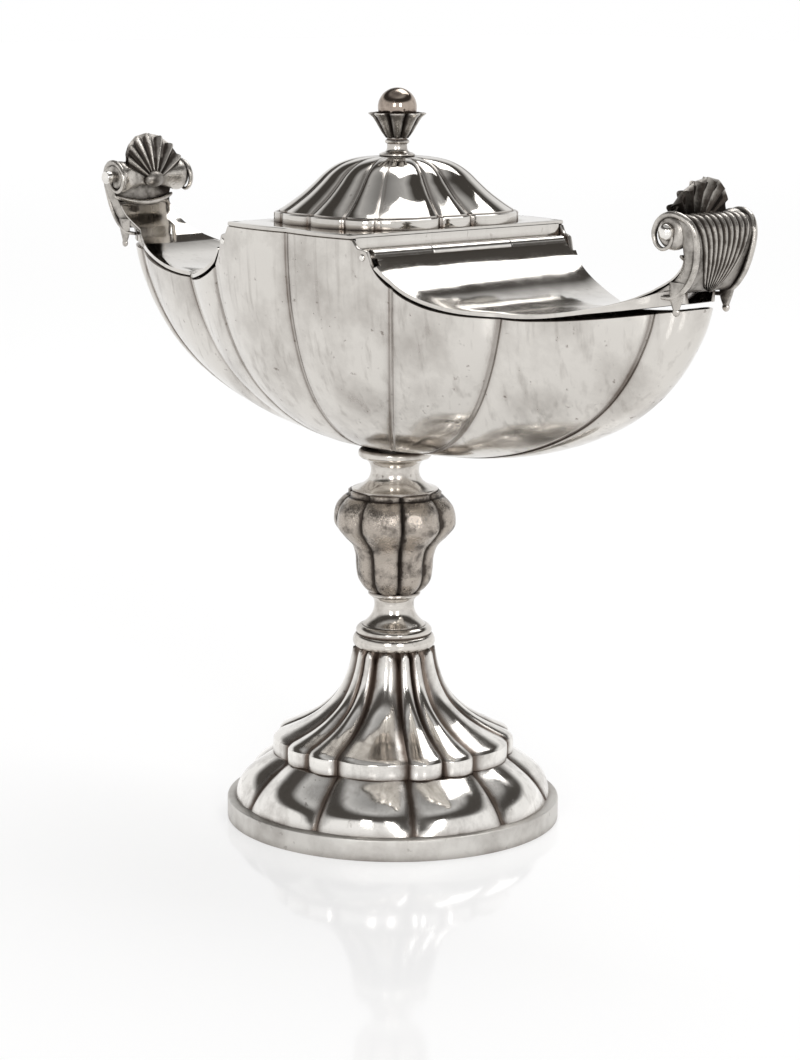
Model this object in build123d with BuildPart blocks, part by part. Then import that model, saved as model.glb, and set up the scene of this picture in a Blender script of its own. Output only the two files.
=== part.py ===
# Incense boat (navicella): a gadrooned silver boat on a lobed foot, with a fixed deck amidships
# that carries a ribbed dome, and at either end a hinged lid with a scrolled prow ornament.
#
# Frame: millimetres, +X along the boat towards the right-hand prow, +Y across it, +Z up.
# The origin is the centre of the foot's underside.
from build123d import *
import math
import os

os.makedirs("parts", exist_ok=True)

# Overall sizes
rim_radius = 41.3             # outside of the foot rim
rim_height = 5.4
deck_z = 148.2                # top face of the deck
deck_half_length = 22.7
finial_top_z = 180.0
sheet = 1.1                   # thickness of the raised silver sheet
wide = 60.0                   # half width of the bodies that cut right across the boat

# Bearings, in degrees from +X: the front of the object lies between +X and -Y
front_bearing = -41.5
first_foot_seam = front_bearing + 7.5
first_knop_seam = front_bearing + 8.6
foot_lobes = 10
knop_lobes = 8
petals = 8

# Swell of the lobes: how far a crown stands off its chord, as a share of the chord
hull_swell = 0.07
tip_swell = 0.53
dome_swell = 0.13

# Stem stack, upwards
trumpet_top_z = 43.2
ring_top_z = 48.6
lower_spool_top_z = 57.0
knop_shoulder_z = 81.0
knop_top_z = 82.4
dish_floor_z = 90.4
hull_bottom_z = 93.0

# Tie rod with its nut, and finial screw with its nut
rod_radius = 1.75
rod_hole_radius = 1.85
rod_bottom_z = 36.5
rod_top_z = 92.4
socket_radius = 4.0
foot_sheet = 0.9
washer_radius = 6.5
washer_thickness = 1.1
nut_height = 3.2
nut_radius = 4.0              # over the corners
screw_radius = 1.2
screw_hole_radius = 1.25
screw_bottom_z = 159.0
screw_top_z = 173.0
screw_nut_height = 2.0
screw_nut_radius = 2.9

# Hinges: one pin across the boat at each end of the deck
hinge_x = 25.6
hinge_z = 143.2
pin_radius = 0.8
pin_half_length = 33.2
barrel_radius = 1.7
running_clearance = 0.05      # lid knuckles on their pin
sweep_clearance = 0.3         # lid plate round the fixed knuckle
knuckle_gap = 0.25            # between neighbouring knuckles
middle_knuckle_half = 12.4
knuckle_end = 30.4
apron_bottom_z = 141.6

# Lids
lid_sheet = 1.0
lid_end_x = 99.0
corner_x = 29.2               # up to here the lid lies between the hull's walls

# Dome and finial
dome_sheet = 0.9
dome_flange_z = 150.6
dome_top_z = 163.8
ball_radius = 4.7
ball_z = finial_top_z - ball_radius

# Prow ornament
scroll_x = 100.0
scroll_z = 153.3
bore_radius = 1.0             # of the cross pin through the scroll
eye_radius = 1.7
eye_start = 11.3
eye_end = 14.2
shell_base = (97.2, 151.9)
shell_ribs = 7
shell_spread = 108.0          # degrees from the first rib to the last
leaf_ribs = 5
leaf_rib_radius = 0.8
leaf_rib_pitch = 1.35


def point_on_circle(radius, bearing):
    """A point of the horizontal plane, given by its distance and bearing from the axis."""
    angle = math.radians(bearing)
    return (radius * math.cos(angle), radius * math.sin(angle))


def crown_point(start, end, swell):
    """The outermost point of the lobe between two seams that run anticlockwise."""
    chord_x = end[0] - start[0]
    chord_y = end[1] - start[1]
    middle_x = (start[0] + end[0]) / 2
    middle_y = (start[1] + end[1]) / 2
    return (middle_x + chord_y * swell, middle_y - chord_x * swell)


def lobed_body(levels):
    """Loft a body through level outlines (height, seams, swells) of one arc for each lobe."""
    with BuildPart() as body:
        for level_z, seams, swells in levels:
            with BuildSketch(Plane.XY.offset(level_z)):
                with BuildLine():
                    for number, start in enumerate(seams):
                        end = seams[(number + 1) % len(seams)]
                        ThreePointArc(start, crown_point(start, end, swells[number]), end)
                make_face()
        loft()
    return body.part


def ring_level(level_z, seam_radius, crown_radius, bearings):
    """A level outline round the axis, its seams on one circle and its crowns on another."""
    seams = [point_on_circle(seam_radius, bearing) for bearing in bearings]
    swells = []
    for number, bearing in enumerate(bearings):
        following = bearings[(number + 1) % len(bearings)]
        half_angle = math.radians(((following - bearing) % 360) / 2)
        chord = 2 * seam_radius * math.sin(half_angle)
        swells.append((crown_radius - seam_radius * math.cos(half_angle)) / chord)
    return (level_z, seams, swells)


def ring_body(profile, bearings, inset=0.0, drop=0.0):
    """Loft a lobed body of revolution from a profile of (height, seam radius, crown radius)."""
    levels = []
    for level_z, seam_radius, crown_radius in profile:
        levels.append(ring_level(level_z - drop, seam_radius - inset, crown_radius - inset, bearings))
    return lobed_body(levels)


def all_round(quarter):
    """Repeat a quarter plan, from the middle of the side to the seam next the tip, all round."""
    far_right = list(reversed(quarter))
    far_left = [(-x, y) for x, y in quarter[1:]]
    near_left = [(-x, -y) for x, y in reversed(quarter)]
    near_right = [(x, -y) for x, y in quarter[1:]]
    return far_right + far_left + near_left + near_right


def plan_body(profile, quarter, side_swell, end_swell, side_inset=0.0, end_inset=0.0, drop=0.0):
    """Loft a body that scales a plan by the shares of a profile of (height, share)."""
    swells = ([side_swell] * (2 * len(quarter) - 2) + [end_swell]) * 2
    levels = []
    for level_z, share in profile:
        seams = []
        for x, y in all_round(quarter):
            seams.append((x * (share - end_inset), y * share - math.copysign(side_inset, y)))
        levels.append((level_z - drop, seams, swells))
    return lobed_body(levels)


def thickened(points, thickness):
    """The points of a second curve that runs under a first one at a steady distance."""
    under = []
    for number, (x, z) in enumerate(points):
        before = points[max(number - 1, 0)]
        after = points[min(number + 1, len(points) - 1)]
        run_x = after[0] - before[0]
        run_z = after[1] - before[1]
        length = math.hypot(run_x, run_z)
        under.append((x + run_z / length * thickness, z - run_x / length * thickness))
    return under


def across_boat(upper, lower):
    """A body right across the boat between an upper and a lower curve of its side view."""
    with BuildPart() as body:
        with BuildSketch(Plane.XZ):
            with BuildLine():
                Spline(upper)
                Line(upper[-1], lower[-1])
                Spline(lower)
                Line(lower[0], upper[0])
            make_face()
        extrude(amount=wide, both=True)
    return body.part


def save(piece, name):
    """Label a finished piece and write it as its own node."""
    piece.part.label = name
    export_step(piece.part, "parts/" + name + ".step")


# Foot rim: a plain vertical band with a narrow ledge turned inwards at its top
with BuildPart() as foot_rim:
    with BuildSketch(Plane.XZ):
        with BuildLine():
            Polyline(
                (rim_radius - 1.6, 0),
                (rim_radius - 0.3, 0),
                (rim_radius, 0.3),
                (rim_radius, rim_height - 0.4),
                (rim_radius - 0.4, rim_height),
                (rim_radius - 4.6, rim_height),
                (rim_radius - 4.6, rim_height - 0.8),
                (rim_radius - 1.6, rim_height - 0.8),
                close=True,
            )
        make_face()
    revolve(axis=Axis.Z)
save(foot_rim, "foot_rim")

# Foot: a bulging tier of ten lobes, an upright band and a fluted trumpet, raised from one sheet.
# Every second lobe divides into two above the tier.
tier_bearings = [first_foot_seam + number * 360 / foot_lobes for number in range(foot_lobes)]
flute_bearings = []
for number, bearing in enumerate(tier_bearings):
    flute_bearings.append(bearing)
    if number % 2 == 0:
        flute_bearings.append(bearing + 180 / foot_lobes)
tier_profile = [
    (rim_height, 38.6, 39.3),
    (7.2, 37.6, 39.0),
    (9.6, 35.9, 38.2),
    (12.0, 33.6, 36.3),
    (14.2, 31.0, 33.4),
    (15.8, 28.9, 30.9),
    (16.4, 28.2, 30.0),
]
band_profile = [
    (16.4, 28.5, 29.9),
    (20.4, 28.5, 29.9),
]
trumpet_profile = [
    (20.4, 28.4, 29.8),
    (21.3, 27.2, 28.8),
    (22.6, 24.2, 26.0),
    (24.3, 20.7, 22.5),
    (26.6, 17.2, 18.9),
    (29.8, 13.9, 15.4),
    (33.6, 11.7, 12.9),
    (38.0, 10.2, 11.2),
    (trumpet_top_z, 9.3, 10.1),
]
foot_inset = 0.7
with BuildPart() as foot_dome:
    add(ring_body(tier_profile, tier_bearings))
    add(ring_body(band_profile, flute_bearings))
    add(ring_body(trumpet_profile, flute_bearings))
    add(ring_body(tier_profile, tier_bearings, foot_inset, foot_sheet), mode=Mode.SUBTRACT)
    add(ring_body(band_profile, flute_bearings, foot_inset, foot_sheet), mode=Mode.SUBTRACT)
    add(ring_body(trumpet_profile, flute_bearings, foot_inset, foot_sheet), mode=Mode.SUBTRACT)
    with BuildSketch(Plane.XY.offset(trumpet_top_z - foot_sheet)):
        Circle(rod_hole_radius)
    extrude(amount=foot_sheet, mode=Mode.SUBTRACT)
save(foot_dome, "foot_dome")

# Washer and nut that draw the whole stem together from inside the foot
washer_top_z = trumpet_top_z - foot_sheet
nut_top_z = washer_top_z - washer_thickness
with BuildPart() as foot_washer:
    with BuildSketch(Plane.XY.offset(nut_top_z)):
        Circle(washer_radius)
        Circle(rod_hole_radius, mode=Mode.SUBTRACT)
    extrude(amount=washer_thickness)
save(foot_washer, "foot_washer")

with BuildPart() as foot_nut:
    with BuildSketch(Plane.XY.offset(nut_top_z - nut_height)):
        RegularPolygon(nut_radius, 6)
        Circle(rod_radius, mode=Mode.SUBTRACT)
    extrude(amount=nut_height)
save(foot_nut, "foot_nut")

with BuildPart() as tie_rod:
    with BuildSketch(Plane.XY.offset(rod_bottom_z)):
        Circle(rod_radius)
    extrude(amount=rod_top_z - rod_bottom_z)
    chamfer(tie_rod.edges().group_by(Axis.Z)[0], 0.4)
save(tie_rod, "tie_rod")

# Neck ring: the turned moulding that caps the trumpet
with BuildPart() as foot_neck_ring:
    with BuildSketch(Plane.XZ):
        with BuildLine():
            Line((rod_hole_radius, trumpet_top_z), (9.5, trumpet_top_z))
            Spline((9.5, trumpet_top_z), (10.1, 44.6), (9.5, 46.3))
            Polyline((9.5, 46.3), (9.1, 46.5), (9.1, 46.9), (9.4, 47.1))
            Spline((9.4, 47.1), (9.1, 48.0), (8.3, ring_top_z))
            Polyline((8.3, ring_top_z), (rod_hole_radius, ring_top_z), (rod_hole_radius, trumpet_top_z))
        make_face()
    revolve(axis=Axis.Z)
save(foot_neck_ring, "foot_neck_ring")

# Lower spool: a turned neck that flares down onto the ring
with BuildPart() as lower_spool:
    with BuildSketch(Plane.XZ):
        with BuildLine():
            Polyline((rod_hole_radius, lower_spool_top_z), (rod_hole_radius, ring_top_z), (7.8, ring_top_z))
            Spline((7.8, ring_top_z), (6.2, 50.4), (5.0, 52.4), (4.9, 54.2), (5.9, 56.0))
            Polyline((5.9, 56.0), (6.3, 56.3), (6.3, lower_spool_top_z), (rod_hole_radius, lower_spool_top_z))
        make_face()
    revolve(axis=Axis.Z)
save(lower_spool, "lower_spool")

# Knop: a pear of eight lobes, widest near its top, under an upright lobed band
knop_bearings = [first_knop_seam + number * 360 / knop_lobes for number in range(knop_lobes)]
knop_profile = [
    (lower_spool_top_z, 6.0, 6.4),
    (58.3, 7.3, 7.9),
    (60.2, 8.4, 9.1),
    (63.0, 8.8, 9.6),
    (66.0, 8.9, 9.8),
    (68.8, 9.7, 10.8),
    (71.2, 11.8, 13.1),
    (73.6, 13.6, 15.0),
    (76.0, 13.8, 15.2),
    (78.4, 13.3, 14.6),
    (80.2, 12.1, 13.2),
    (knop_shoulder_z, 11.3, 12.2),
]
collar_profile = [
    (knop_shoulder_z, 10.7, 11.5),
    (knop_top_z, 10.7, 11.5),
]
with BuildPart() as knop:
    add(ring_body(knop_profile, knop_bearings))
    add(ring_body(collar_profile, knop_bearings))
    with BuildSketch(Plane.XY.offset(lower_spool_top_z)):
        Circle(rod_hole_radius)
    extrude(amount=knop_top_z - lower_spool_top_z, mode=Mode.SUBTRACT)
save(knop, "knop")

# Upper spool: a sloping shoulder, a concave neck and a dished collar under the hull
with BuildPart() as upper_spool:
    with BuildSketch(Plane.XZ):
        with BuildLine():
            Polyline((rod_hole_radius, dish_floor_z), (rod_hole_radius, knop_top_z), (10.7, knop_top_z))
            Line((10.7, knop_top_z), (10.5, 82.9))
            Spline((10.5, 82.9), (8.1, 83.9), (6.4, 85.2), (5.9, 86.9), (6.2, 88.8), (8.6, 90.6))
            Spline((8.6, 90.6), (9.1, 91.5), (8.4, 92.6))
            Spline((8.4, 92.6), (7.2, 91.6), (5.0, dish_floor_z), tangents=[(-0.4, -1), (-1, 0)])
            Line((5.0, dish_floor_z), (rod_hole_radius, dish_floor_z))
        make_face()
    revolve(axis=Axis.Z)
save(upper_spool, "upper_spool")

# Socket soldered under the hull, with a blind thread for the tie rod
with BuildPart() as hull_socket:
    with BuildSketch(Plane.XY.offset(dish_floor_z)):
        Circle(socket_radius)
    extrude(amount=hull_bottom_z - dish_floor_z)
    with BuildSketch(Plane.XY.offset(dish_floor_z)):
        Circle(rod_radius)
    extrude(amount=rod_top_z - dish_floor_z, mode=Mode.SUBTRACT)
save(hull_socket, "hull_socket")

# Hull form: fourteen lobes whose seams run from the gunwale to the middle of the bottom
hull_quarter = [(0.0, 34.5), (33.0, 30.8), (58.5, 19.7), (94.5, 7.6)]
hull_profile = [
    (hull_bottom_z, 0.12),
    (93.7, 0.25),
    (95.6, 0.40),
    (98.8, 0.54),
    (103.0, 0.66),
    (108.5, 0.77),
    (115.5, 0.86),
    (124.0, 0.93),
    (133.0, 0.975),
    (143.0, 0.995),
    (160.0, 1.0),
]
end_wall = 0.008              # share of the length that the walls take up at the seams
hull_form = plan_body(hull_profile, hull_quarter, hull_swell, tip_swell)
hull_hollow = plan_body(hull_profile[2:], hull_quarter, hull_swell, tip_swell, sheet, end_wall, -sheet)

# Side view of the gunwale from the deck to the right-hand tip
sheer = [
    (26.9, 144.6),
    (27.6, 142.3),
    (29.4, 139.3),
    (32.4, 136.6),
    (37.0, 134.2),
    (43.0, 132.4),
    (51.0, 131.4),
    (60.0, 131.2),
    (70.0, 131.8),
    (80.0, 132.9),
    (90.0, 134.4),
    (105.0, 136.9),
]
clear_z = 175.0
deck_sheet = 1.0
with BuildPart() as above_gunwale:
    with BuildSketch(Plane.XZ):
        with BuildLine():
            Polyline((0, clear_z), (0, deck_z - deck_sheet), (deck_half_length, deck_z - deck_sheet))
            Spline((deck_half_length, deck_z - deck_sheet), (24.2, 145.4), sheer[0], tangents=[(0, -1), (1, -0.3)])
            Spline(sheer)
            Polyline(sheer[-1], (sheer[-1][0], clear_z), (0, clear_z))
        make_face()
    extrude(amount=wide, both=True)
    mirror(about=Plane.YZ)

with BuildPart() as hull:
    add(hull_form)
    add(hull_hollow, mode=Mode.SUBTRACT)
    add(above_gunwale.part, mode=Mode.SUBTRACT)
    for side in (-1, 1):
        with BuildSketch(Plane.XZ.offset(wide)):
            with Locations((side * hinge_x, hinge_z)):
                Circle(pin_radius)
        extrude(amount=-2 * wide, mode=Mode.SUBTRACT)
save(hull, "hull")

# Deck: a plate over the middle of the hull, turned down at either end into a short apron
with BuildPart() as deck_plate:
    add(hull_form)
    with BuildSketch(Plane.XZ):
        with Locations((0, deck_z - deck_sheet / 2)):
            Rectangle(2 * deck_half_length, deck_sheet)
    extrude(amount=wide, both=True, mode=Mode.INTERSECT)
    with BuildSketch(Plane.XZ):
        for side in (-1, 1):
            with Locations((side * (deck_half_length - deck_sheet / 2), (deck_z + apron_bottom_z) / 2)):
                Rectangle(deck_sheet, deck_z - apron_bottom_z)
    extrude(amount=knuckle_end, both=True)
    top_ends = deck_plate.edges().filter_by(Axis.Y).group_by(Axis.Z)[-1]
    fillet(top_ends, 0.7)
save(deck_plate, "deck_plate")

# Dome: a cover of fourteen lobes, which repeat the hull's, over an upright lobed flange
dome_quarter = [(0.0, 27.5), (11.3, 26.5), (18.5, 22.5), (21.2, 5.0)]
flange_profile = [
    (deck_z, 1.0),
    (dome_flange_z, 1.0),
]
dome_profile = [
    (dome_flange_z, 0.985),
    (151.5, 0.93),
    (153.0, 0.855),
    (155.0, 0.765),
    (157.4, 0.675),
    (159.8, 0.59),
    (161.8, 0.49),
    (163.0, 0.38),
    (163.6, 0.26),
    (dome_top_z, 0.14),
]
with BuildPart() as dome_cover:
    add(plan_body(flange_profile, dome_quarter, dome_swell, dome_swell))
    add(plan_body(dome_profile, dome_quarter, dome_swell, dome_swell))
    add(
        plan_body(flange_profile, dome_quarter, dome_swell, dome_swell, dome_sheet, 0.04, dome_sheet),
        mode=Mode.SUBTRACT,
    )
    add(
        plan_body(dome_profile[:-2], dome_quarter, dome_swell, dome_swell, dome_sheet, 0.04, dome_sheet),
        mode=Mode.SUBTRACT,
    )
    with BuildSketch(Plane.XY.offset(dome_top_z)):
        Circle(screw_hole_radius)
    extrude(amount=-4 * dome_sheet, mode=Mode.SUBTRACT)
save(dome_cover, "dome_cover")

# Finial: a flanged stem, a calyx of petals and a ball, drawn down by one screw
stem_top_z = 168.0
with BuildPart() as finial_stem:
    with BuildSketch(Plane.XZ):
        with BuildLine():
            Polyline((screw_hole_radius, dome_top_z), (4.2, dome_top_z), (4.3, 164.3), (3.6, 164.7))
            Spline((3.6, 164.7), (2.5, 165.4), (2.4, 166.6))
            Polyline((2.4, 166.6), (2.9, 166.9), (2.9, 167.4), (2.4, 167.7), (2.4, stem_top_z))
            Polyline((2.4, stem_top_z), (screw_hole_radius, stem_top_z), (screw_hole_radius, dome_top_z))
        make_face()
    revolve(axis=Axis.Z)
save(finial_stem, "finial_stem")

petal_bearings = [front_bearing + (number + 0.5) * 360 / petals for number in range(petals)]
calyx_profile = [
    (stem_top_z, 2.3, 2.6),
    (169.6, 3.1, 3.7),
    (171.4, 3.9, 4.8),
    (172.8, 4.5, 5.6),
    (173.6, 4.8, 6.5),
    (174.0, 4.9, 6.7),
]
with BuildPart() as finial_calyx:
    add(ring_body(calyx_profile, petal_bearings))
    with Locations((0, 0, ball_z)):
        Sphere(ball_radius, mode=Mode.SUBTRACT)
    with BuildSketch(Plane.XY.offset(stem_top_z)):
        Circle(screw_hole_radius)
    extrude(amount=ball_z - stem_top_z, mode=Mode.SUBTRACT)
save(finial_calyx, "finial_calyx")

with BuildPart() as finial_ball:
    with Locations((0, 0, ball_z)):
        Sphere(ball_radius)
    with BuildSketch(Plane.XY.offset(screw_top_z)):
        Circle(screw_radius)
    extrude(amount=-ball_radius, mode=Mode.SUBTRACT)
save(finial_ball, "finial_ball")

with BuildPart() as finial_screw:
    with BuildSketch(Plane.XY.offset(screw_bottom_z)):
        Circle(screw_radius)
    extrude(amount=screw_top_z - screw_bottom_z)
save(finial_screw, "finial_screw")

dome_inner_top_z = dome_profile[-3][0] - dome_sheet
with BuildPart() as finial_nut:
    with BuildSketch(Plane.XY.offset(dome_inner_top_z - screw_nut_height)):
        RegularPolygon(screw_nut_radius, 6)
        Circle(screw_radius, mode=Mode.SUBTRACT)
    extrude(amount=screw_nut_height)
save(finial_nut, "finial_nut")

# Fixed knuckle: the middle third of the hinge barrel, on a leaf soldered to the deck's apron
with BuildPart() as right_deck_knuckle:
    with BuildSketch(Plane.XZ):
        with Locations((hinge_x, hinge_z)):
            Circle(barrel_radius)
        with Locations(((deck_half_length + hinge_x) / 2, hinge_z - 0.4)):
            Rectangle(hinge_x - deck_half_length, 1.4)
        with Locations((hinge_x, hinge_z)):
            Circle(pin_radius, mode=Mode.SUBTRACT)
    extrude(amount=middle_knuckle_half, both=True)

with BuildPart() as right_hinge_pin:
    with BuildSketch(Plane.XZ):
        with Locations((hinge_x, hinge_z)):
            Circle(pin_radius)
    extrude(amount=pin_half_length, both=True)

# Lid: a saddle of sheet that drops from the hinge and climbs to the prow. Its side webs stand on
# the gunwale and deepen towards the prow.
lid_top = [
    (26.7, 144.4),
    (28.6, 142.2),
    (31.2, 139.7),
    (35.0, 137.0),
    (40.0, 134.9),
    (47.0, 133.2),
    (54.0, 132.6),
    (61.0, 132.6),
    (69.0, 133.3),
    (78.0, 134.9),
    (86.0, 136.9),
    (93.0, 139.2),
    (lid_end_x, 142.2),
]
lid_underside = thickened(lid_top, lid_sheet)
web_edge = lid_underside[:7] + [
    (61.5, 131.5),
    (70.0, 132.5),
    (80.0, 134.0),
    (90.0, 135.6),
    (lid_end_x, 137.2),
]
under_lid = lid_underside[8:]
under_lid.append((lid_end_x + 3, 143.6))
lid_recess_floor = [(x, apron_bottom_z - 20) for x, z in under_lid]

with BuildPart() as lid_recess:
    add(hull_hollow)
    add(across_boat(under_lid, lid_recess_floor), mode=Mode.INTERSECT)

with BuildPart() as right_lid:
    add(hull_form)
    add(across_boat(lid_top, web_edge), mode=Mode.INTERSECT)
    add(lid_recess.part, mode=Mode.SUBTRACT)
    # beside the hinge the plate keeps inside the hull's walls
    with BuildSketch(Plane.XY.offset(apron_bottom_z - 8)):
        for side in (-1, 1):
            with Locations((corner_x - 5, side * (knuckle_end + 5))):
                Rectangle(10, 10)
    extrude(amount=16, mode=Mode.SUBTRACT)
    # the middle knuckle is the deck's, so the plate is cut back round it
    with BuildSketch(Plane.XZ):
        with Locations((hinge_x, hinge_z)):
            Circle(barrel_radius + sweep_clearance)
    extrude(amount=middle_knuckle_half + knuckle_gap, both=True, mode=Mode.SUBTRACT)
    for side in (-1, 1):
        with BuildSketch(Plane.XZ.offset(-side * (middle_knuckle_half + knuckle_gap))):
            with Locations((hinge_x, hinge_z)):
                Circle(barrel_radius)
        extrude(amount=-side * (knuckle_end - middle_knuckle_half - knuckle_gap))
    with BuildSketch(Plane.XZ):
        with Locations((hinge_x, hinge_z)):
            Circle(pin_radius + running_clearance)
    extrude(amount=wide, both=True, mode=Mode.SUBTRACT)

# Prow casting: a thick scroll that climbs outwards from the lid and rolls over inboard, with a
# leg each side that laps the hull's tip
scroll_back = [
    (lid_end_x, 138.4),
    (101.2, 139.8),
    (103.4, 142.5),
    (105.3, 146.6),
    (106.4, 150.8),
    (106.0, 154.0),
    (104.0, 156.2),
    (101.0, 156.7),
]
scroll_front = [
    (93.0, 139.9),
    (96.6, 141.5),
    (99.2, 143.2),
    (101.3, 145.3),
    (102.6, 147.9),
    (103.0, 150.4),
    (102.4, 152.6),
]
roll_profile = [(2.5, 0.0), (2.7, 3.0), (3.3, 6.0), (4.0, 8.8), (3.8, 10.3), (3.3, eye_start)]
leg_outline = [
    (97.8, 141.5),
    (97.8, 137.8),
    (98.8, 135.2),
    (99.9, 134.2),
    (101.0, 135.4),
    (101.8, 138.0),
    (102.4, 141.5),
]
leg_inner = 7.3
leg_outer = 8.3
with BuildPart() as right_prow_casting:
    with BuildSketch(Plane.XZ):
        with BuildLine():
            Spline(scroll_back)
            Line(scroll_back[-1], scroll_front[-1])
            Spline(scroll_front)
            Polyline(scroll_front[0], (93.0, 138.8), (lid_end_x, 141.8), scroll_back[0])
        make_face()
    extrude(amount=eye_start, both=True)
    with BuildSketch(Plane.YZ):
        with BuildLine():
            Spline((8.2, 136.0), (8.1, 142.0), (9.0, 147.5), (10.8, 152.0), (10.8, 158.0))
            Line((10.8, 158.0), (-10.8, 158.0))
            Spline((-10.8, 158.0), (-10.8, 152.0), (-9.0, 147.5), (-8.1, 142.0), (-8.2, 136.0))
            Line((-8.2, 136.0), (8.2, 136.0))
        make_face()
    extrude(amount=2 * scroll_x, mode=Mode.INTERSECT)
    with BuildSketch(Plane.XY.offset(scroll_z)):
        with BuildLine():
            ends = [(scroll_x + radius, offset) for radius, offset in roll_profile]
            Spline(ends)
            Polyline(ends[-1], (scroll_x, eye_start), (scroll_x, 0), ends[0])
        make_face()
        mirror(about=Plane.XZ)
    revolve(axis=Axis((scroll_x, 0, scroll_z), (0, 1, 0)))
    for side in (-1, 1):
        with BuildSketch(Plane.XZ.offset(-side * leg_inner)):
            with BuildLine():
                Spline(leg_outline)
                Line(leg_outline[-1], leg_outline[0])
            make_face()
        extrude(amount=-side * (leg_outer - leg_inner))
    add(right_lid.part, mode=Mode.SUBTRACT)
    with BuildSketch(Plane.XZ):
        with Locations((scroll_x, scroll_z)):
            Circle(bore_radius)
    extrude(amount=wide, both=True, mode=Mode.SUBTRACT)

# Cross pin through the scroll, whose heads are the eyes of the volutes
with BuildPart() as right_prow_pin:
    with BuildSketch(Plane.XZ):
        with Locations((scroll_x, scroll_z)):
            Circle(bore_radius)
    extrude(amount=eye_start, both=True)
    for side in (-1, 1):
        with BuildSketch(Plane.XZ.offset(-side * eye_start)):
            with Locations((scroll_x, scroll_z)):
                Circle(eye_radius)
        extrude(amount=-side * (eye_end - eye_start))
    fillet(right_prow_pin.edges().filter_by(GeomType.CIRCLE).group_by(Axis.Y)[0], 0.5)
    fillet(right_prow_pin.edges().filter_by(GeomType.CIRCLE).group_by(Axis.Y)[-1], 0.5)

# Scallop shell that stands inboard of the scroll, hollow side to the boat
with BuildPart() as right_prow_shell:
    for number in range(shell_ribs):
        turn = shell_spread * (number / (shell_ribs - 1) - 0.5)
        lean = 13.0 - 0.3 * abs(turn)
        length = 10.9 - 0.045 * abs(turn)
        rib_plane = Plane(
            origin=(shell_base[0], 0, shell_base[1]),
            z_dir=(
                math.sin(math.radians(lean)),
                math.cos(math.radians(lean)) * math.sin(math.radians(turn)),
                math.cos(math.radians(lean)) * math.cos(math.radians(turn)),
            ),
        )
        with BuildSketch(rib_plane):
            Circle(0.7)
        with BuildSketch(rib_plane.offset(length)):
            Circle(1.75)
        loft()
        with Locations(rib_plane.offset(length)):
            Sphere(1.75)
    add(right_prow_casting.part, mode=Mode.SUBTRACT)

# Ribbed acanthus leaf laid up the outside of the scroll
with BuildPart() as right_prow_leaf:
    for number in range(leaf_ribs):
        place = number - (leaf_ribs - 1) / 2
        stem_plane = Plane.XZ.offset(-place * leaf_rib_pitch)
        first_point = 1 + (abs(place) > 1)
        with BuildLine(stem_plane) as leaf_line:
            Spline(scroll_back[first_point:-1])
        with BuildSketch(Plane(leaf_line.line @ 0, z_dir=leaf_line.line % 0)):
            Circle(leaf_rib_radius)
        sweep(path=leaf_line.line)
    add(right_prow_casting.part, mode=Mode.SUBTRACT)

right_pieces = [
    (right_deck_knuckle, "deck_knuckle"),
    (right_hinge_pin, "hinge_pin"),
    (right_lid, "lid"),
    (right_prow_casting, "prow_casting"),
    (right_prow_pin, "prow_pin"),
    (right_prow_shell, "prow_shell"),
    (right_prow_leaf, "prow_leaf"),
]
for piece, name in right_pieces:
    save(piece, "right_" + name)
    with BuildPart() as left_piece:
        mirror(piece.part, about=Plane.YZ)
    save(left_piece, "left_" + name)
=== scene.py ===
"""A silver incense boat: lobed hull, domed deck, two hinged lids with scrolled prows, knopped foot."""
import math

import bmesh
import bpy
from bpy.props import FloatProperty, FloatVectorProperty, IntProperty, PointerProperty
from mathutils import Matrix, Vector


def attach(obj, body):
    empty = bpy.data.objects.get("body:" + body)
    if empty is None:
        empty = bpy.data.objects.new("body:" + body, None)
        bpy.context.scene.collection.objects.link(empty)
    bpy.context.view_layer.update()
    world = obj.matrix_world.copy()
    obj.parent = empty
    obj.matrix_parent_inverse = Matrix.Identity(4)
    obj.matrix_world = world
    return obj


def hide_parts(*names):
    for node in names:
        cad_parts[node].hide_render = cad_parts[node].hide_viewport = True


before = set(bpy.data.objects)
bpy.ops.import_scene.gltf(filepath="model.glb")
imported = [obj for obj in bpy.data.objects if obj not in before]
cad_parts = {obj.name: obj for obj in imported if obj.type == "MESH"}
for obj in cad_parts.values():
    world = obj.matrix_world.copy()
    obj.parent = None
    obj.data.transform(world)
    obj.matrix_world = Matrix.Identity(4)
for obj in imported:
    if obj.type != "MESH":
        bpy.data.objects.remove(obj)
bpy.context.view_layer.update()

bl_info = {
    "name": "Silver incense boat",
    "version": (1, 0, 0),
    "blender": (4, 5, 0),
    "location": "View3D > Sidebar > Incense boat",
    "description": "Dresses the packed incense boat with raised, cast and turned silver pieces",
    "category": "Object",
}

MM = 0.001

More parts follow.
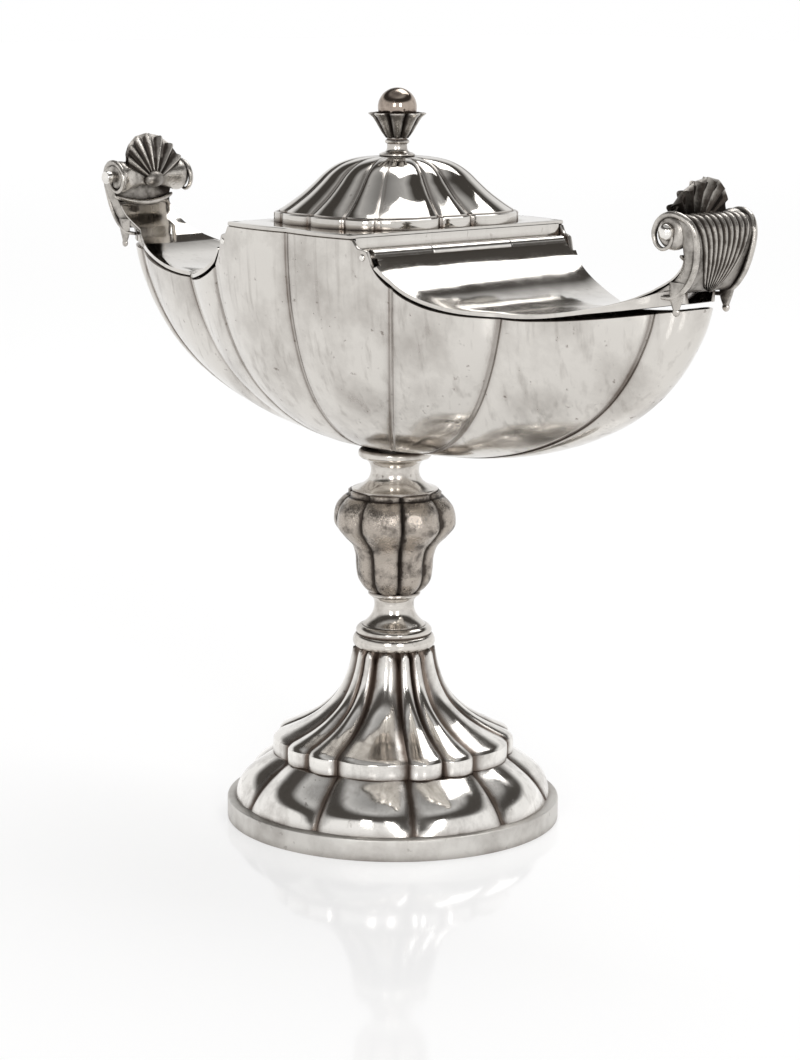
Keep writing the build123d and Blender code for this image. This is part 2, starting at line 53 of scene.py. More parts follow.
# Levels and plans, in millimetres, as in the solid model
HULL_QUARTER = [(0.0, 34.5), (33.0, 30.8), (58.5, 19.7), (94.5, 7.6)]
HULL_SHARES = [
    (92.6, 0.06), (93.0, 0.12), (93.7, 0.25), (95.6, 0.40), (98.8, 0.54), (103.0, 0.66), (108.5, 0.77),
    (115.5, 0.86), (124.0, 0.93), (133.0, 0.975), (143.0, 0.995), (160.0, 1.0),
]
HULL_SWELL, TIP_SWELL = 0.07, 0.53
SHEER = [
    (0.0, 147.2), (22.7, 147.2), (24.2, 145.4), (26.9, 144.6), (27.6, 142.3), (29.4, 139.3), (32.4, 136.6),
    (37.0, 134.2), (43.0, 132.4), (51.0, 131.4), (60.0, 131.2), (70.0, 131.8), (80.0, 132.9), (90.0, 134.4),
    (105.0, 136.9),
]
LID_TOP = [
    (27.7, 143.25), (28.6, 142.2), (31.2, 139.7), (35.0, 137.0), (40.0, 134.9), (47.0, 133.2),
    (54.0, 132.6), (61.0, 132.6), (69.0, 133.3), (78.0, 134.9), (86.0, 136.9), (93.0, 139.2), (99.0, 142.2),
]
LID_WEB = [(61.0, 131.55), (70.0, 132.5), (80.0, 134.0), (90.0, 135.6), (99.0, 137.2)]
DECK_HALF, DECK_Z = 22.7, 148.2
HINGE_X, HINGE_Z, KNUCKLE_R = 25.6, 143.2, 1.7
KNUCKLE_MIDDLE, KNUCKLE_END = 12.4, 30.4
DOME_QUARTER = [(0.0, 27.5), (11.3, 26.5), (18.5, 22.5), (21.2, 5.0)]
DOME_SWELL = 0.13
DOME_SHARES = [
    (150.6, 0.985), (151.5, 0.93), (153.0, 0.855), (155.0, 0.765), (157.4, 0.675), (159.8, 0.59),
    (161.8, 0.49), (163.0, 0.38), (163.6, 0.26), (163.8, 0.14),
]
FRONT = -41.5                 # bearing of the camera's side, degrees from +X
FOOT_SEAM = FRONT + 7.5
KNOP_SEAM = FRONT + 8.6
SCROLL_X, SCROLL_Z = 100.0, 153.3


# Curves


def linear(code):
    """A linear colour from an sRGB hex code."""
    parts = [int(code[place:place + 2], 16) / 255 for place in (1, 3, 5)]
    return tuple(part / 12.92 if part <= 0.04045 else ((part + 0.055) / 1.055) ** 2.4 for part in parts)


def follow(table, at):
    """The height at one place of a smooth curve through a table, with no overshoot."""
    if at <= table[0][0]:
        return table[0][1]
    if at >= table[-1][0]:
        return table[-1][1]
    place = max(number for number in range(len(table) - 1) if table[number][0] <= at)

    def secant(number):
        return (table[number + 1][1] - table[number][1]) / (table[number + 1][0] - table[number][0])

    def slope(number):
        if number in (0, len(table) - 1):
            return secant(min(number, len(table) - 2))
        before, after = secant(number - 1), secant(number)
        return 0.0 if before * after <= 0 else 2 * before * after / (before + after)

    (x0, y0), (x1, y1) = table[place], table[place + 1]
    width = x1 - x0
    t = (at - x0) / width
    return (
        (2 * t ** 3 - 3 * t ** 2 + 1) * y0 + (t ** 3 - 2 * t ** 2 + t) * width * slope(place)
        + (3 * t ** 2 - 2 * t ** 3) * y1 + (t ** 3 - t ** 2) * width * slope(place + 1)
    )


def smooth(points, steps=6):
    """Points of a round curve through the given ones, of any number of dimensions."""
    made = []
    for number in range(len(points) - 1):
        a = points[max(number - 1, 0)]
        b, c = points[number], points[number + 1]
        d = points[min(number + 2, len(points) - 1)]
        for step in range(steps):
            t = step / steps
            made.append(tuple(
                0.5 * (2 * q + (r - p) * t + (2 * p - 5 * q + 4 * r - s) * t * t + (3 * q - p - 3 * r + s) * t ** 3)
                for p, q, r, s in zip(a, b, c, d)
            ))
    made.append(tuple(points[-1]))
    return made


def places(count):
    """Places from -1 up to, but not including, 1, closer together at both ends."""
    even = [2 * number / count - 1 for number in range(count)]
    return [0.6 * (1.5 * t - 0.5 * t ** 3) + 0.4 * t for t in even]


def arc_point(start, end, rise, place):
    """A point of the arc that stands off its chord by rise, its normal and its distance from an end."""
    half = math.hypot(end[0] - start[0], end[1] - start[1]) / 2
    along = ((end[0] - start[0]) / 2 / half, (end[1] - start[1]) / 2 / half)
    out = (along[1], -along[0])
    radius = (half * half + rise * rise) / (2 * rise)
    sweep = math.asin(min(1.0, half / radius))
    if rise > half:
        sweep = math.pi - sweep
    angle = place * sweep
    rises = rise - radius + radius * math.cos(angle)
    runs = radius * math.sin(angle)
    point = tuple((start[k] + end[k]) / 2 + out[k] * rises + along[k] * runs for k in (0, 1))
    normal = tuple(out[k] * math.cos(angle) + along[k] * math.sin(angle) for k in (0, 1))
    return point, normal, (1 - abs(place)) * sweep * radius


def all_round(quarter):
    """A quarter plan repeated all round, anticlockwise from the seam next the right-hand tip."""
    return (
        list(reversed(quarter)) + [(-x, y) for x, y in quarter[1:]]
        + [(-x, -y) for x, y in reversed(quarter)] + [(x, -y) for x, y in quarter[1:]]
    )


def plan_point(seams, swells, lobe, place, share, inset=0.0, end_inset=0.0, groove=0.0):
    """A point of a lobed plan at one share of its size, and how dark its painted seam shade and tarnish are."""
    ends = []
    for x, y in (seams[lobe], seams[(lobe + 1) % len(seams)]):
        ends.append((x * (share - end_inset), y * share - math.copysign(inset, y)))
    chord = math.hypot(ends[1][0] - ends[0][0], ends[1][1] - ends[0][1])
    (x, y), normal, distance = arc_point(ends[0], ends[1], chord * swells[lobe], place)
    cut = groove * math.exp(-(distance / 0.55) ** 2)
    # painted shade along each seam, with the tarnish there: a soft band and a darker line half a millimetre out
    dark = max(0.45 * math.exp(-(distance / 1.4) ** 2), math.exp(-((distance - 0.5) / 0.28) ** 2))
    return x - normal[0] * cut, y - normal[1] * cut, dark


def lobe_radius(bearing, seams, seam_radius, crown_radius):
    """The radius of a round lobed outline at one bearing, with the place in its lobe (-1 to 1)."""
    for number, start in enumerate(seams):
        width = (seams[(number + 1) % len(seams)] - start) % 360
        turn = (bearing - start) % 360
        if turn < width:
            break
    half = math.radians(width / 2)
    off = math.radians(turn) - half
    chord = seam_radius * math.sin(half)
    rise = crown_radius - seam_radius * math.cos(half)
    radius = (chord * chord + rise * rise) / (2 * rise)
    centre = crown_radius - radius
    return centre * math.cos(off) + math.sqrt(max(radius ** 2 - (centre * math.sin(off)) ** 2, 0)), off / half


# Meshes


def add_piece(name, vertices, faces, finish, body, nodes=(), slot=None, crease=32, bevel=0.0, side=1):
    """A closed mesh piece from points (x, y, z, painted shade and tarnish) in mm, riding on its body; side -1 turns it
    half round.
    """
    bm = bmesh.new()
    # painted shade and tarnish per vertex, 0 to 1, which darkens the metal's colour
    shade_and_tarnish = bm.verts.layers.float.new("shade_and_tarnish")
    made = []
    for vertex in vertices:
        point = bm.verts.new((vertex[0] * MM * side, vertex[1] * MM * side, vertex[2] * MM))
        point[shade_and_tarnish] = vertex[3] if len(vertex) > 3 else 0.0
        made.append(point)
    for face in faces:
        corners = [made[number] for number in face]
        if len(set(corners)) > 2:
            try:
                bm.faces.new(corners)
            except ValueError:
                continue
    bmesh.ops.remove_doubles(bm, verts=bm.verts, dist=2e-6)
    bmesh.ops.dissolve_degenerate(bm, edges=bm.edges, dist=1e-7)
    bmesh.ops.recalc_face_normals(bm, faces=bm.faces)
    mesh = bpy.data.meshes.new(name)
    bm.to_mesh(mesh)
    bm.free()
    if not mesh.polygons:
        raise RuntimeError(name + " has no faces")
    mesh.shade_smooth()
    mesh.set_sharp_from_angle(angle=math.radians(crease))
    mesh.materials.append(finish)
    thing = bpy.data.objects.new(name, mesh)
    bpy.context.scene.collection.objects.link(thing)
    if bevel:
        rounding = thing.modifiers.new("soft edges", "BEVEL")
        rounding.width = bevel * MM
        rounding.segments = 2
        rounding.limit_method = "ANGLE"
        rounding.angle_limit = math.radians(40)
        rounding.harden_normals = True
    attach(thing, body)
    if nodes:
        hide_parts(*nodes)
    return thing


def grid(rows, wrap=True, loop=False, cap_first=False, cap_last=False):
    """Vertices and faces of rows of points; wrap joins each row's ends, loop the last row to the first."""
    vertices = [point for row in rows for point in row]
    width = len(rows[0])
    faces = []
    for number in range(len(rows) if loop else len(rows) - 1):
        base, above = number * width, (number + 1) % len(rows) * width
        for place in range(width if wrap else width - 1):
            beside = (place + 1) % width
            faces.append((base + place, base + beside, above + beside, above + place))
    if cap_first:
        faces.append(tuple(range(width - 1, -1, -1)))
    if cap_last:
        faces.append(tuple(range(len(vertices) - width, len(vertices))))
    return vertices, faces


def joined(*parts):
    """Several vertex and face lists as one."""
    vertices, faces = [], []
    for more_vertices, more_faces in parts:
        start = len(vertices)
        vertices += more_vertices
        faces += [tuple(number + start for number in face) for face in more_faces]
    return vertices, faces


def turned(profile, steps=160, loop=True):
    """A turned form about the axis from a closed profile of (radius, height, painted shade and tarnish)."""
    rows = []
    for point in profile:
        dark = point[2] if len(point) > 2 else 0.0
        rows.append([
            (point[0] * math.cos(2 * math.pi * k / steps), point[0] * math.sin(2 * math.pi * k / steps), point[1], dark)
            for k in range(steps)
        ])
    return grid(rows, loop=loop)


def turned_across(profile, x, z, steps=40):
    """A turned form about a line across the boat from a profile of (radius, y)."""
    rows = []
    for radius, y in profile:
        rows.append([
            (x + radius * math.cos(2 * math.pi * k / steps), y, z + radius * math.sin(2 * math.pi * k / steps), 0.0)
            for k in range(steps)
        ])
    return grid(rows, cap_first=True, cap_last=True)


def tube(path, radii, sides=12, flat=1.0):
    """A round bar along a path; flat squashes it across its first normal."""
    path = [Vector(point) for point in path]
    normal = None
    rows = []
    for number, point in enumerate(path):
        heading = (path[min(number + 1, len(path) - 1)] - path[max(number - 1, 0)]).normalized()
        if normal is None:
            normal = heading.orthogonal().normalized()
        normal = (normal - heading * normal.dot(heading)).normalized()
        other = heading.cross(normal)
        radius = radii[number] if isinstance(radii, list) else radii
        rows.append([
            tuple(point + normal * (radius * flat * math.cos(2 * math.pi * k / sides))
                  + other * (radius * math.sin(2 * math.pi * k / sides))) + (0.0,)
            for k in range(sides)
        ])
    return grid(rows, cap_first=True, cap_last=True)


# Materials


def add_node(tree, kind, settings=None, links=None):
    """Adds a node, gives its properties and sockets their settings, and links its inputs."""
    made = tree.nodes.new(kind)
    for key, value in (settings or {}).items():
        if isinstance(key, int) or key in made.inputs:
            made.inputs[key].default_value = value
        else:
            setattr(made, key, value)
    for key, source in (links or {}).items():
        tree.links.new(source, made.inputs[key])
    return made


def silver(name, bright, tarnish_and_shade_colour, roughness, cloud, cloud_size, shade_and_tarnish, dents, grain, grain_size, spots=0.25,
           streaks=0.0):
    """Silver with a tarnish film.

    bright is the clean metal's colour and the second colour that of the tarnish, which also paints the shade. cloud is
    how far patches of tarnish of cloud_size mm go, and the next amount how dark the painted shade, with the tarnish
    there, goes in the seams, corners, insides and undersides. dents is the depth of the hammered unevenness and grain
    that of the pits or scratches of grain_size mm, both in mm. spots and streaks are how dark the small stains and the
    upright wiping marks are.
    """
    made = bpy.data.materials.new(name)
    made.use_nodes = True
    tree = made.node_tree
    tree.nodes.clear()
    where = add_node(tree, "ShaderNodeTexCoord")
    in_mm = add_node(tree, "ShaderNodeMapping", {"Scale": (1000, 1000, 1000)}, {"Vector": where.outputs["Object"]})
    place = in_mm.outputs["Vector"]
    patches = add_node(tree, "ShaderNodeTexNoise", {"Scale": 1 / cloud_size, "Detail": 6, "Roughness": 0.62}, {"Vector": place})
    film = add_node(tree, "ShaderNodeMapRange", {"From Min": 0.46, "From Max": 0.72, "To Max": cloud},
                    {"Value": patches.outputs["Fac"]})
    dots = add_node(tree, "ShaderNodeTexNoise", {"Scale": 0.55, "Detail": 3, "Roughness": 0.5}, {"Vector": place})
    dot_mask = add_node(tree, "ShaderNodeMapRange", {"From Min": 0.68, "From Max": 0.74, "To Max": spots},
                        {"Value": dots.outputs["Fac"]})
    upright = add_node(tree, "ShaderNodeVectorMath", {"operation": "MULTIPLY", 1: (1, 1, 0.035)}, {0: place})
    marks = add_node(tree, "ShaderNodeTexNoise", {"Scale": 0.4, "Detail": 4, "Roughness": 0.55},
                     {"Vector": upright.outputs[0]})
    wiped = add_node(tree, "ShaderNodeMapRange", {"From Min": 0.55, "From Max": 0.78, "To Max": streaks},
                     {"Value": marks.outputs["Fac"]})
    # the per-vertex amount of painted shade in seams, hollows, insides and undersides, which also stands for the
    # tarnish there
    seam = add_node(tree, "ShaderNodeAttribute", {"attribute_name": "shade_and_tarnish"})
    # ambient occlusion paints shade into corners and under parts, also standing for the tarnish there
    corner = add_node(tree, "ShaderNodeAmbientOcclusion", {"Distance": 0.0025, "samples": 8})
    shade = add_node(tree, "ShaderNodeMapRange", {"From Min": 0.95, "From Max": 0.35, "To Max": shade_and_tarnish},
                     {"Value": corner.outputs["AO"]})
    seam_dark = add_node(tree, "ShaderNodeMath", {"operation": "MULTIPLY_ADD", 1: shade_and_tarnish},
                         {0: seam.outputs["Fac"], 2: film.outputs["Result"]})
    lined = add_node(tree, "ShaderNodeMath", {"operation": "ADD"}, {0: seam_dark.outputs[0], 1: wiped.outputs["Result"]})
    more = add_node(tree, "ShaderNodeMath", {"operation": "ADD"}, {0: lined.outputs[0], 1: shade.outputs["Result"]})
    dark = add_node(tree, "ShaderNodeMath", {"operation": "ADD", "use_clamp": True},
                    {0: more.outputs[0], 1: dot_mask.outputs["Result"]})
    # the dark colour takes in the tarnish film, wiping marks, stains and the painted shade
    colour = add_node(tree, "ShaderNodeMix", {"data_type": "RGBA", 6: (*bright, 1), 7: (*tarnish_and_shade_colour, 1)},
                      {0: dark.outputs[0]})
    fine = add_node(tree, "ShaderNodeTexNoise", {"Scale": 1 / grain_size, "Detail": 5, "Roughness": 0.6}, {"Vector": place})
    dull = add_node(tree, "ShaderNodeMath", {"operation": "MULTIPLY_ADD", 1: 0.32, 2: roughness}, {0: dark.outputs[0]})
    worn = add_node(tree, "ShaderNodeMath", {"operation": "MULTIPLY_ADD", 1: roughness * 0.6},
                    {0: fine.outputs["Fac"], 2: dull.outputs[0]})
    uneven = add_node(tree, "ShaderNodeTexNoise", {"Scale": 1 / 13, "Detail": 1.5, "Roughness": 0.4}, {"Vector": place})
    hammered = add_node(tree, "ShaderNodeBump", {"Strength": 1.0, "Distance": dents * MM},
                        {"Height": uneven.outputs["Fac"]})
    pitted = add_node(tree, "ShaderNodeBump", {"Strength": 1.0, "Distance": grain * MM},
                      {"Height": fine.outputs["Fac"], "Normal": hammered.outputs["Normal"]})
    shader = add_node(tree, "ShaderNodeBsdfPrincipled", {"Metallic": 1.0},
                      {"Base Color": colour.outputs[2], "Roughness": worn.outputs[0], "Normal": pitted.outputs["Normal"]})
    add_node(tree, "ShaderNodeOutputMaterial", {}, {"Surface": shader.outputs["BSDF"]})
    return made


FINISHES = {}


def finish(kind):
    """One of the object's finishes, made once."""
    if kind in FINISHES:
        return FINISHES[kind]
    look = bpy.context.scene.boat_finish
    # the film and oxide colours give the tarnish and also the painted shade
    bright, film, black = tuple(look.silver), tuple(look.film), tuple(look.oxide)
    if kind == "raised":
        # raised and planished silver, hand rubbed: a soft shine with wide clouds and small dents
        made = silver("raised planished silver", linear("#DDD9D3"), film, 0.11, 0.40, 20, 0.80, 0.40, 0.010, 0.7,
                      0.45, 0.30)
    elif kind == "burnished":
        # burnished silver sheet: a hard bright shine, with painted shade and tarnish only in its seams
        made = silver("burnished silver", linear("#DAD6D0"), film, 0.05, 0.22, 16, 0.70, 0.12, 0.003, 0.5, 0.20, 0.12)
    elif kind == "foot":
        # raised silver that is handled less: bright crowns, brown film and painted shade down in the seams
        made = silver("raised silver foot", bright, film, 0.07, 0.42, 8, 0.95, 0.18, 0.005, 0.5, 0.40, 0.25)
    elif kind == "satin":
        # silver band stoned along its length: satin, with fine level marks
        made = silver("stoned silver band", linear("#D6D3CE"), film, 0.30, 0.35, 12, 0.5, 0.05, 0.02, 0.45)
    elif kind == "turned":
        # lathe-turned silver, bright on the members, with brown film and painted shade in the necks
        made = silver("turned silver", linear("#DAD5CE"), film, 0.09, 0.45, 5, 1.0, 0.05, 0.008, 0.5, 0.5)
    elif kind == "knop":
        # cast silver that was never polished smooth: pitted, with a grey-brown oxide
        made = silver("cast pitted silver", linear("#B3AAA0"), black, 0.11, 1.0, 3.5, 0.9, 0.30, 0.22, 0.9, 0.8)
    elif kind == "cast":
        # cast and chased silver: a grey skin, with oxide and painted shade in every hollow
        made = silver("cast chased silver", linear("#CBC6BF"), black, 0.17, 0.60, 4, 1.0, 0.10, 0.08, 0.7, 0.4)
    elif kind == "ball":
        # burnished silver ball gone brown from handling: a dark mirror with one bright window
        made = silver("browned burnished silver", linear("#B5A79B"), linear("#4B3B33"), 0.05, 0.7, 5, 0.5, 0.05, 0.003, 0.5)
    elif kind == "wire":
        made = silver("drawn silver wire", bright, film, 0.14, 0.2, 4, 0.6, 0.0, 0.004, 0.4)
    elif kind == "steel":
        # machined steel rod gone dull: grey with brown patches
        made = silver("dull machined steel", linear("#8C8A87"), linear("#4A3B2E"), 0.34, 0.6, 4, 0.6, 0.0, 0.02, 0.4)
    else:
        # turned brass nut, handled and browned
        made = silver("handled brass", linear("#C0A062"), linear("#5C4420"), 0.28, 0.5, 4, 0.6, 0.0, 0.02, 0.4)
    FINISHES[kind] = made
    return made


# Settings


class BoatShape(bpy.types.PropertyGroup):
    """Sizes of the detail that the solids leave plain."""

    wall: FloatProperty(name="Wall", description="Thickness of the hull's sheet", default=1.1 * MM,
                        min=0.0003, max=0.003, unit="LENGTH")
    groove: FloatProperty(name="Seam groove", description="Depth of the chased line between two lobes",
                          default=0.28 * MM, min=0.0, max=0.001, unit="LENGTH")
    shell_ribs: IntProperty(name="Shell ribs", description="Ribs of each shell", default=7, min=3, max=15)
    leaf_ribs: IntProperty(name="Leaf ribs", description="Ribs of each leaf", default=9, min=3, max=15)


class BoatFinish(bpy.types.PropertyGroup):
    """Colours of the metal."""

    silver: FloatVectorProperty(name="Silver", description="Clean metal", subtype="COLOR", size=3,
                                default=linear("#F1EEE9"), min=0, max=1)
    # the film and oxide colours also paint the shade in seams, hollows, insides and undersides
    film: FloatVectorProperty(name="Tarnish film", description="Thin brown-grey film", subtype="COLOR", size=3,
                              default=linear("#6B6058"), min=0, max=1)
    oxide: FloatVectorProperty(name="Oxide", description="Dark oxide of the castings", subtype="COLOR", size=3,
                               default=linear("#453F3A"), min=0, max=1)


class BoatStage(bpy.types.PropertyGroup):
    """Camera and light."""

    lens: FloatProperty(name="Lens", description="Focal length on a 36 mm long side", default=98.43,
                        min=20, max=300, unit="CAMERA")
    floor: FloatVectorProperty(name="Floor", description="Colour of the floor", subtype="COLOR", size=3,
                               default=linear("#FAFAFA"), min=0, max=1)
    dark: FloatVectorProperty(name="Studio dark", description="What the metal mirrors high above", subtype="COLOR",
                              size=3, default=linear("#4A4744"), min=0, max=1)


# Pieces


class BOAT_OT_hull(bpy.types.Operator):
    """Raise the hull: fourteen lobes up to the gunwale, with its wall and rounded edge"""

    bl_idname = "incense_boat.hull"
    bl_label = "Hull"

    def execute(self, context):
        shape = context.scene.boat_shape
        wall, groove = shape.wall / MM, shape.groove / MM
        seams = all_round(HULL_QUARTER)
        swells = ([HULL_SWELL] * 6 + [TIP_SWELL]) * 2
        columns = []
        for lobe in range(len(seams)):
            wide = lobe in (2, 3, 9, 10)
            columns += [(lobe, place) for place in places(60 if wide else 38)]
        outer_rows, inner_rows = 66, 40
        low = 92.75
        rows = [[] for _ in range(outer_rows + inner_rows + 4)]
        for lobe, place in columns:

            def outside(z):
                return plan_point(seams, swells, lobe, place, follow(HULL_SHARES, z), groove=groove)

            def inside(z):
                return plan_point(seams, swells, lobe, place, follow(HULL_SHARES, z - wall), wall, 0.008)

            top = 140.0
            for _ in range(6):
                top = follow(SHEER, abs(outside(top)[0]))
            number = 0
            for step in range(outer_rows + 1):
                z = low + (top - 0.22 - low) * (step / outer_rows) ** 2.1
                x, y, dark = outside(z)
                # outside: painted shade and tarnish along the seams
                rows[number].append((x, y, z, 0.8 * dark))
                number += 1
            (ox, oy, _), (ix, iy, _) = outside(top), inside(top)
            for share, drop in ((0.16, 0.05), (0.5, -0.06), (0.84, 0.05)):
                rows[number].append((ox + (ix - ox) * share, oy + (iy - oy) * share, top - drop, 0.0))
                number += 1
            # the inside wall is half dark with painted shade, darker along its seams
            for step in range(inner_rows):
                z = 94.2 + (top - 0.22 - 94.2) * (1 - step / (inner_rows - 1)) ** 2.1
                x, y, dark = inside(z)
                rows[number].append((x, y, z, 0.5 + 0.5 * dark))
                number += 1
        form = grid(rows, cap_first=True, cap_last=True)
        add_piece("hull_raised", *form, finish("raised"), "boat", ("hull",), "hull_silver")
        return {"FINISHED"}


def plan_half_width(x, z):
    """Half the width of the hull's form at one place of its length and height."""
    share = follow(HULL_SHARES, z)
    at = abs(x) / share
    for (x0, y0), (x1, y1) in zip(HULL_QUARTER, HULL_QUARTER[1:] + [(94.5, -7.6)]):
        swell = HULL_SWELL if x1 > x0 else TIP_SWELL
        if at <= x1 or x1 == x0:
            half = math.hypot(x1 - x0, y1 - y0) / 2
            rise = 2 * half * swell
            radius = (half * half + rise * rise) / (2 * rise)
            run = ((x1 - x0) / 2 / half, (y1 - y0) / 2 / half)
            centre_x = (x0 + x1) / 2 - run[1] * (rise - radius)
            centre_y = (y0 + y1) / 2 + run[0] * (rise - radius)
            return (centre_y + math.sqrt(max(radius ** 2 - (at - centre_x) ** 2, 0))) * share
    return 0.0


class BOAT_OT_deck(bpy.types.Operator):
    """Lay the deck plate with its lobed sides and the apron at either end"""

    bl_idname = "incense_boat.deck"
    bl_label = "Deck"

    def execute(self, context):
        sides = [DECK_HALF * math.sin(math.pi * (k / 80 - 0.5)) for k in range(81)]
        rim = [(x, plan_half_width(x, 147.6)) for x in sides]
        rim += [(-x, -y) for x, y in rim]

        def ring(inset, z, dark=0.0):
            return [(x - math.copysign(inset, x) * (abs(x) > DECK_HALF - 1), y - math.copysign(inset, y), z, dark)
                    for x, y in rim]

        # the plate's lower edge gets a little painted shade
        plate = grid([ring(0.15, DECK_Z - 1.0), ring(0.0, DECK_Z - 0.85, 0.2), ring(0.0, DECK_Z - 0.3),
                      ring(0.1, DECK_Z - 0.1), ring(0.35, DECK_Z), ring(2.0, DECK_Z)], cap_first=True, cap_last=True)
        nose = 0.7
        section = [(DECK_HALF - 1.1, 147.6), (DECK_HALF - nose, DECK_Z)]
        for step in range(1, 7):
            angle = math.pi / 2 * (1 - step / 6)
            section.append((DECK_HALF - nose + nose * math.cos(angle), DECK_Z - nose + nose * math.sin(angle)))
        section += [(DECK_HALF, 141.9), (DECK_HALF - 0.3, 141.6), (DECK_HALF - 1.1, 141.6)]
        aprons = []
        for side in (-1, 1):
            rows = [[(side * x, y, z, 0.0) for x, z in section] for y in (-32.4, -32.2, 32.2, 32.4)]
            aprons.append(grid(rows, cap_first=True, cap_last=True))
        add_piece("deck_sheet", *joined(plate, *aprons), finish("burnished"), "boat", ("deck_plate",), "deck_silver")
        return {"FINISHED"}


class BOAT_OT_hinges(bpy.types.Operator):
    """Fit the hinge barrels: three knuckles and a pin across each end of the deck"""

    bl_idname = "incense_boat.hinges"
    bl_label = "Hinges"

    def execute(self, context):
        for side, hand in ((1, "right"), (-1, "left")):
            ball = [(HINGE_X + KNUCKLE_R * math.cos(a), HINGE_Z + KNUCKLE_R * math.sin(a))
                    for a in [2 * math.pi * k / 48 for k in range(48)]]

            def barrel(outline, low, high):
                rows = []
                for y, inset in ((low, 0.12), (low + 0.12, 0), (high - 0.12, 0), (high, 0.12)):
                    rows.append([(HINGE_X + (x - HINGE_X) * (1 - inset / 1.7), y,
                                  HINGE_Z + (z - HINGE_Z) * (1 - inset / 1.7), 0.0) for x, z in outline])
                return grid(rows, cap_first=True, cap_last=True)

            fixed = barrel(ball, -KNUCKLE_MIDDLE, KNUCKLE_MIDDLE)
            # the leaf under the barrel gets painted shade
            leaf = grid([[(x, y, z, 0.3) for x, z in ((DECK_HALF - 0.1, 142.0), (HINGE_X, 142.0),
                                                     (HINGE_X, 143.6), (DECK_HALF - 0.1, 143.6))]
                         for y in (-KNUCKLE_MIDDLE, KNUCKLE_MIDDLE)], cap_first=True, cap_last=True)
            add_piece(hand + "_fixed_knuckle", *joined(fixed, leaf), finish("wire"), "boat",
                      (hand + "_deck_knuckle",), "pin_silver", side=side)
            # each lid knuckle runs out into the lid's sheet
            drop = [(HINGE_X + KNUCKLE_R * math.cos(a), HINGE_Z + KNUCKLE_R * math.sin(a))
                    for a in [math.radians(18 + 258 * k / 40) for k in range(41)]]
            drop += [(27.5, 141.75), (28.15, 142.65)]
            gap = 0.25
            knuckles = joined(barrel(drop, -KNUCKLE_END, -KNUCKLE_MIDDLE - gap),
                              barrel(drop, KNUCKLE_MIDDLE + gap, KNUCKLE_END))
            add_piece(hand + "_lid_knuckles", *knuckles, finish("wire"), hand + "_lid", (), "pin_silver", side=side)
            pin = turned_across([(0.6, -33.35), (0.78, -33.2), (0.78, 33.2), (0.6, 33.35)], HINGE_X, HINGE_Z)
            add_piece(hand + "_pin", *pin, finish("wire"), "boat", (hand + "_hinge_pin",), "pin_silver", side=side)
        return {"FINISHED"}


class BOAT_OT_lids(bpy.types.Operator):
    """Shape the two saddle-shaped lids with their webs"""

    bl_idname = "incense_boat.lids"
    bl_label = "Lids"

    def execute(self, context):
        line = smooth(LID_TOP, 8)
        line = [point for point in line if abs(point[0] - 29.2) > 0.3]
        line += [(29.17, 0.0), (29.23, 0.0)]
        line.sort()
        line = [(x, z if z else follow(LID_TOP, x)) for x, z in line]
        across = 30
        loops = []
        for number, (x, z) in enumerate(line):
            before, after = line[max(number - 1, 0)], line[min(number + 1, len(line) - 1)]
            run = math.hypot(after[0] - before[0], after[1] - before[1])
            low_x = x + (after[1] - before[1]) / run
            low_z = z - (after[0] - before[0]) / run

            def width(at_x, at_z):
                limit = KNUCKLE_END if x < 29.2 else 99.0
                return min(plan_half_width(at_x, at_z), limit)

            web_z = min(low_z, follow(LID_WEB, low_x)) if low_x > 61 else low_z
            top_w, low_w, web_w = width(x, z), width(low_x, low_z), width(low_x, web_z)
            loop = []
            for step in range(across + 1):
                t = 2 * step / across - 1
                edge = max(0.0, (abs(t) - 0.97) / 0.03)
                loop.append((x, t * top_w, z - 0.10 * edge, 0.0))
            outer = [(x, top_w + 0.02, z - 0.28), ((x + low_x) / 2, (top_w + low_w) / 2 + 0.02, (z + low_z) / 2),
                     (low_x, web_w + 0.02, (low_z + web_z) / 2), (low_x, web_w, web_z + 0.12), (low_x, web_w - 0.3, web_z)]
            # the web's inner face and the lid's underside get painted shade
            inner = [(low_x, web_w - 0.9, web_z), (low_x, web_w - 1.1, web_z + 0.12 * (web_z < low_z)),
                     (low_x, low_w - 1.15, low_z)]
            loop += [(px, py, pz, 0.0) for px, py, pz in outer] + [(px, py, pz, 0.6) for px, py, pz in inner]
            for step in range(1, across):
                t = 1 - 2 * step / across
                loop.append((low_x, t * (low_w - 1.15), low_z, 0.6))
            loop += [(px, -py, pz, 0.6) for px, py, pz in reversed(inner)]
            loop += [(px, -py, pz, 0.0) for px, py, pz in reversed(outer)]
            loops.append(loop)
        saddle = smooth([(83.0, 135.98), (86.0, 136.88), (89.0, 137.98), (91.4, 139.15), (93.6, 140.3), (96.6, 141.75),
                         (99.2, 143.35), (101.1, 145.3), (101.7, 146.4)], 5)
        rows = []
        for number, (x, z) in enumerate(saddle):
            before, after = saddle[max(number - 1, 0)], saddle[min(number + 1, len(saddle) - 1)]
            run = math.hypot(after[0] - before[0], after[1] - before[1])
            out = ((before[1] - after[1]) / run, (after[0] - before[0]) / run)
            half = max(8.05, plan_half_width(x, z) - 0.1) if x < 94 else 8.05
            high = follow([(83.0, 0.02), (91.0, 0.12), (96.0, 0.3)], x)
            above = [(x + out[0] * high * (1 - 0.6 * t * t), half * t, z + out[1] * high * (1 - 0.6 * t * t), 0.0)
                     for t in [2 * k / 20 - 1 for k in range(21)]]
            # the saddle's underside gets painted shade
            under = [(x - out[0] * 0.3, -half * t, z - out[1] * 0.3, 0.3) for t in (-1, 0, 1)]
            rows.append(above + under)
        form = joined(grid(loops, cap_first=True, cap_last=True), grid(rows, cap_first=True, cap_last=True))
        for side, hand in ((1, "right"), (-1, "left")):
            add_piece(hand + "_lid_sheet", *form, finish("burnished"), hand + "_lid", (hand + "_lid",),
                      "lid_silver", side=side)
        return {"FINISHED"}


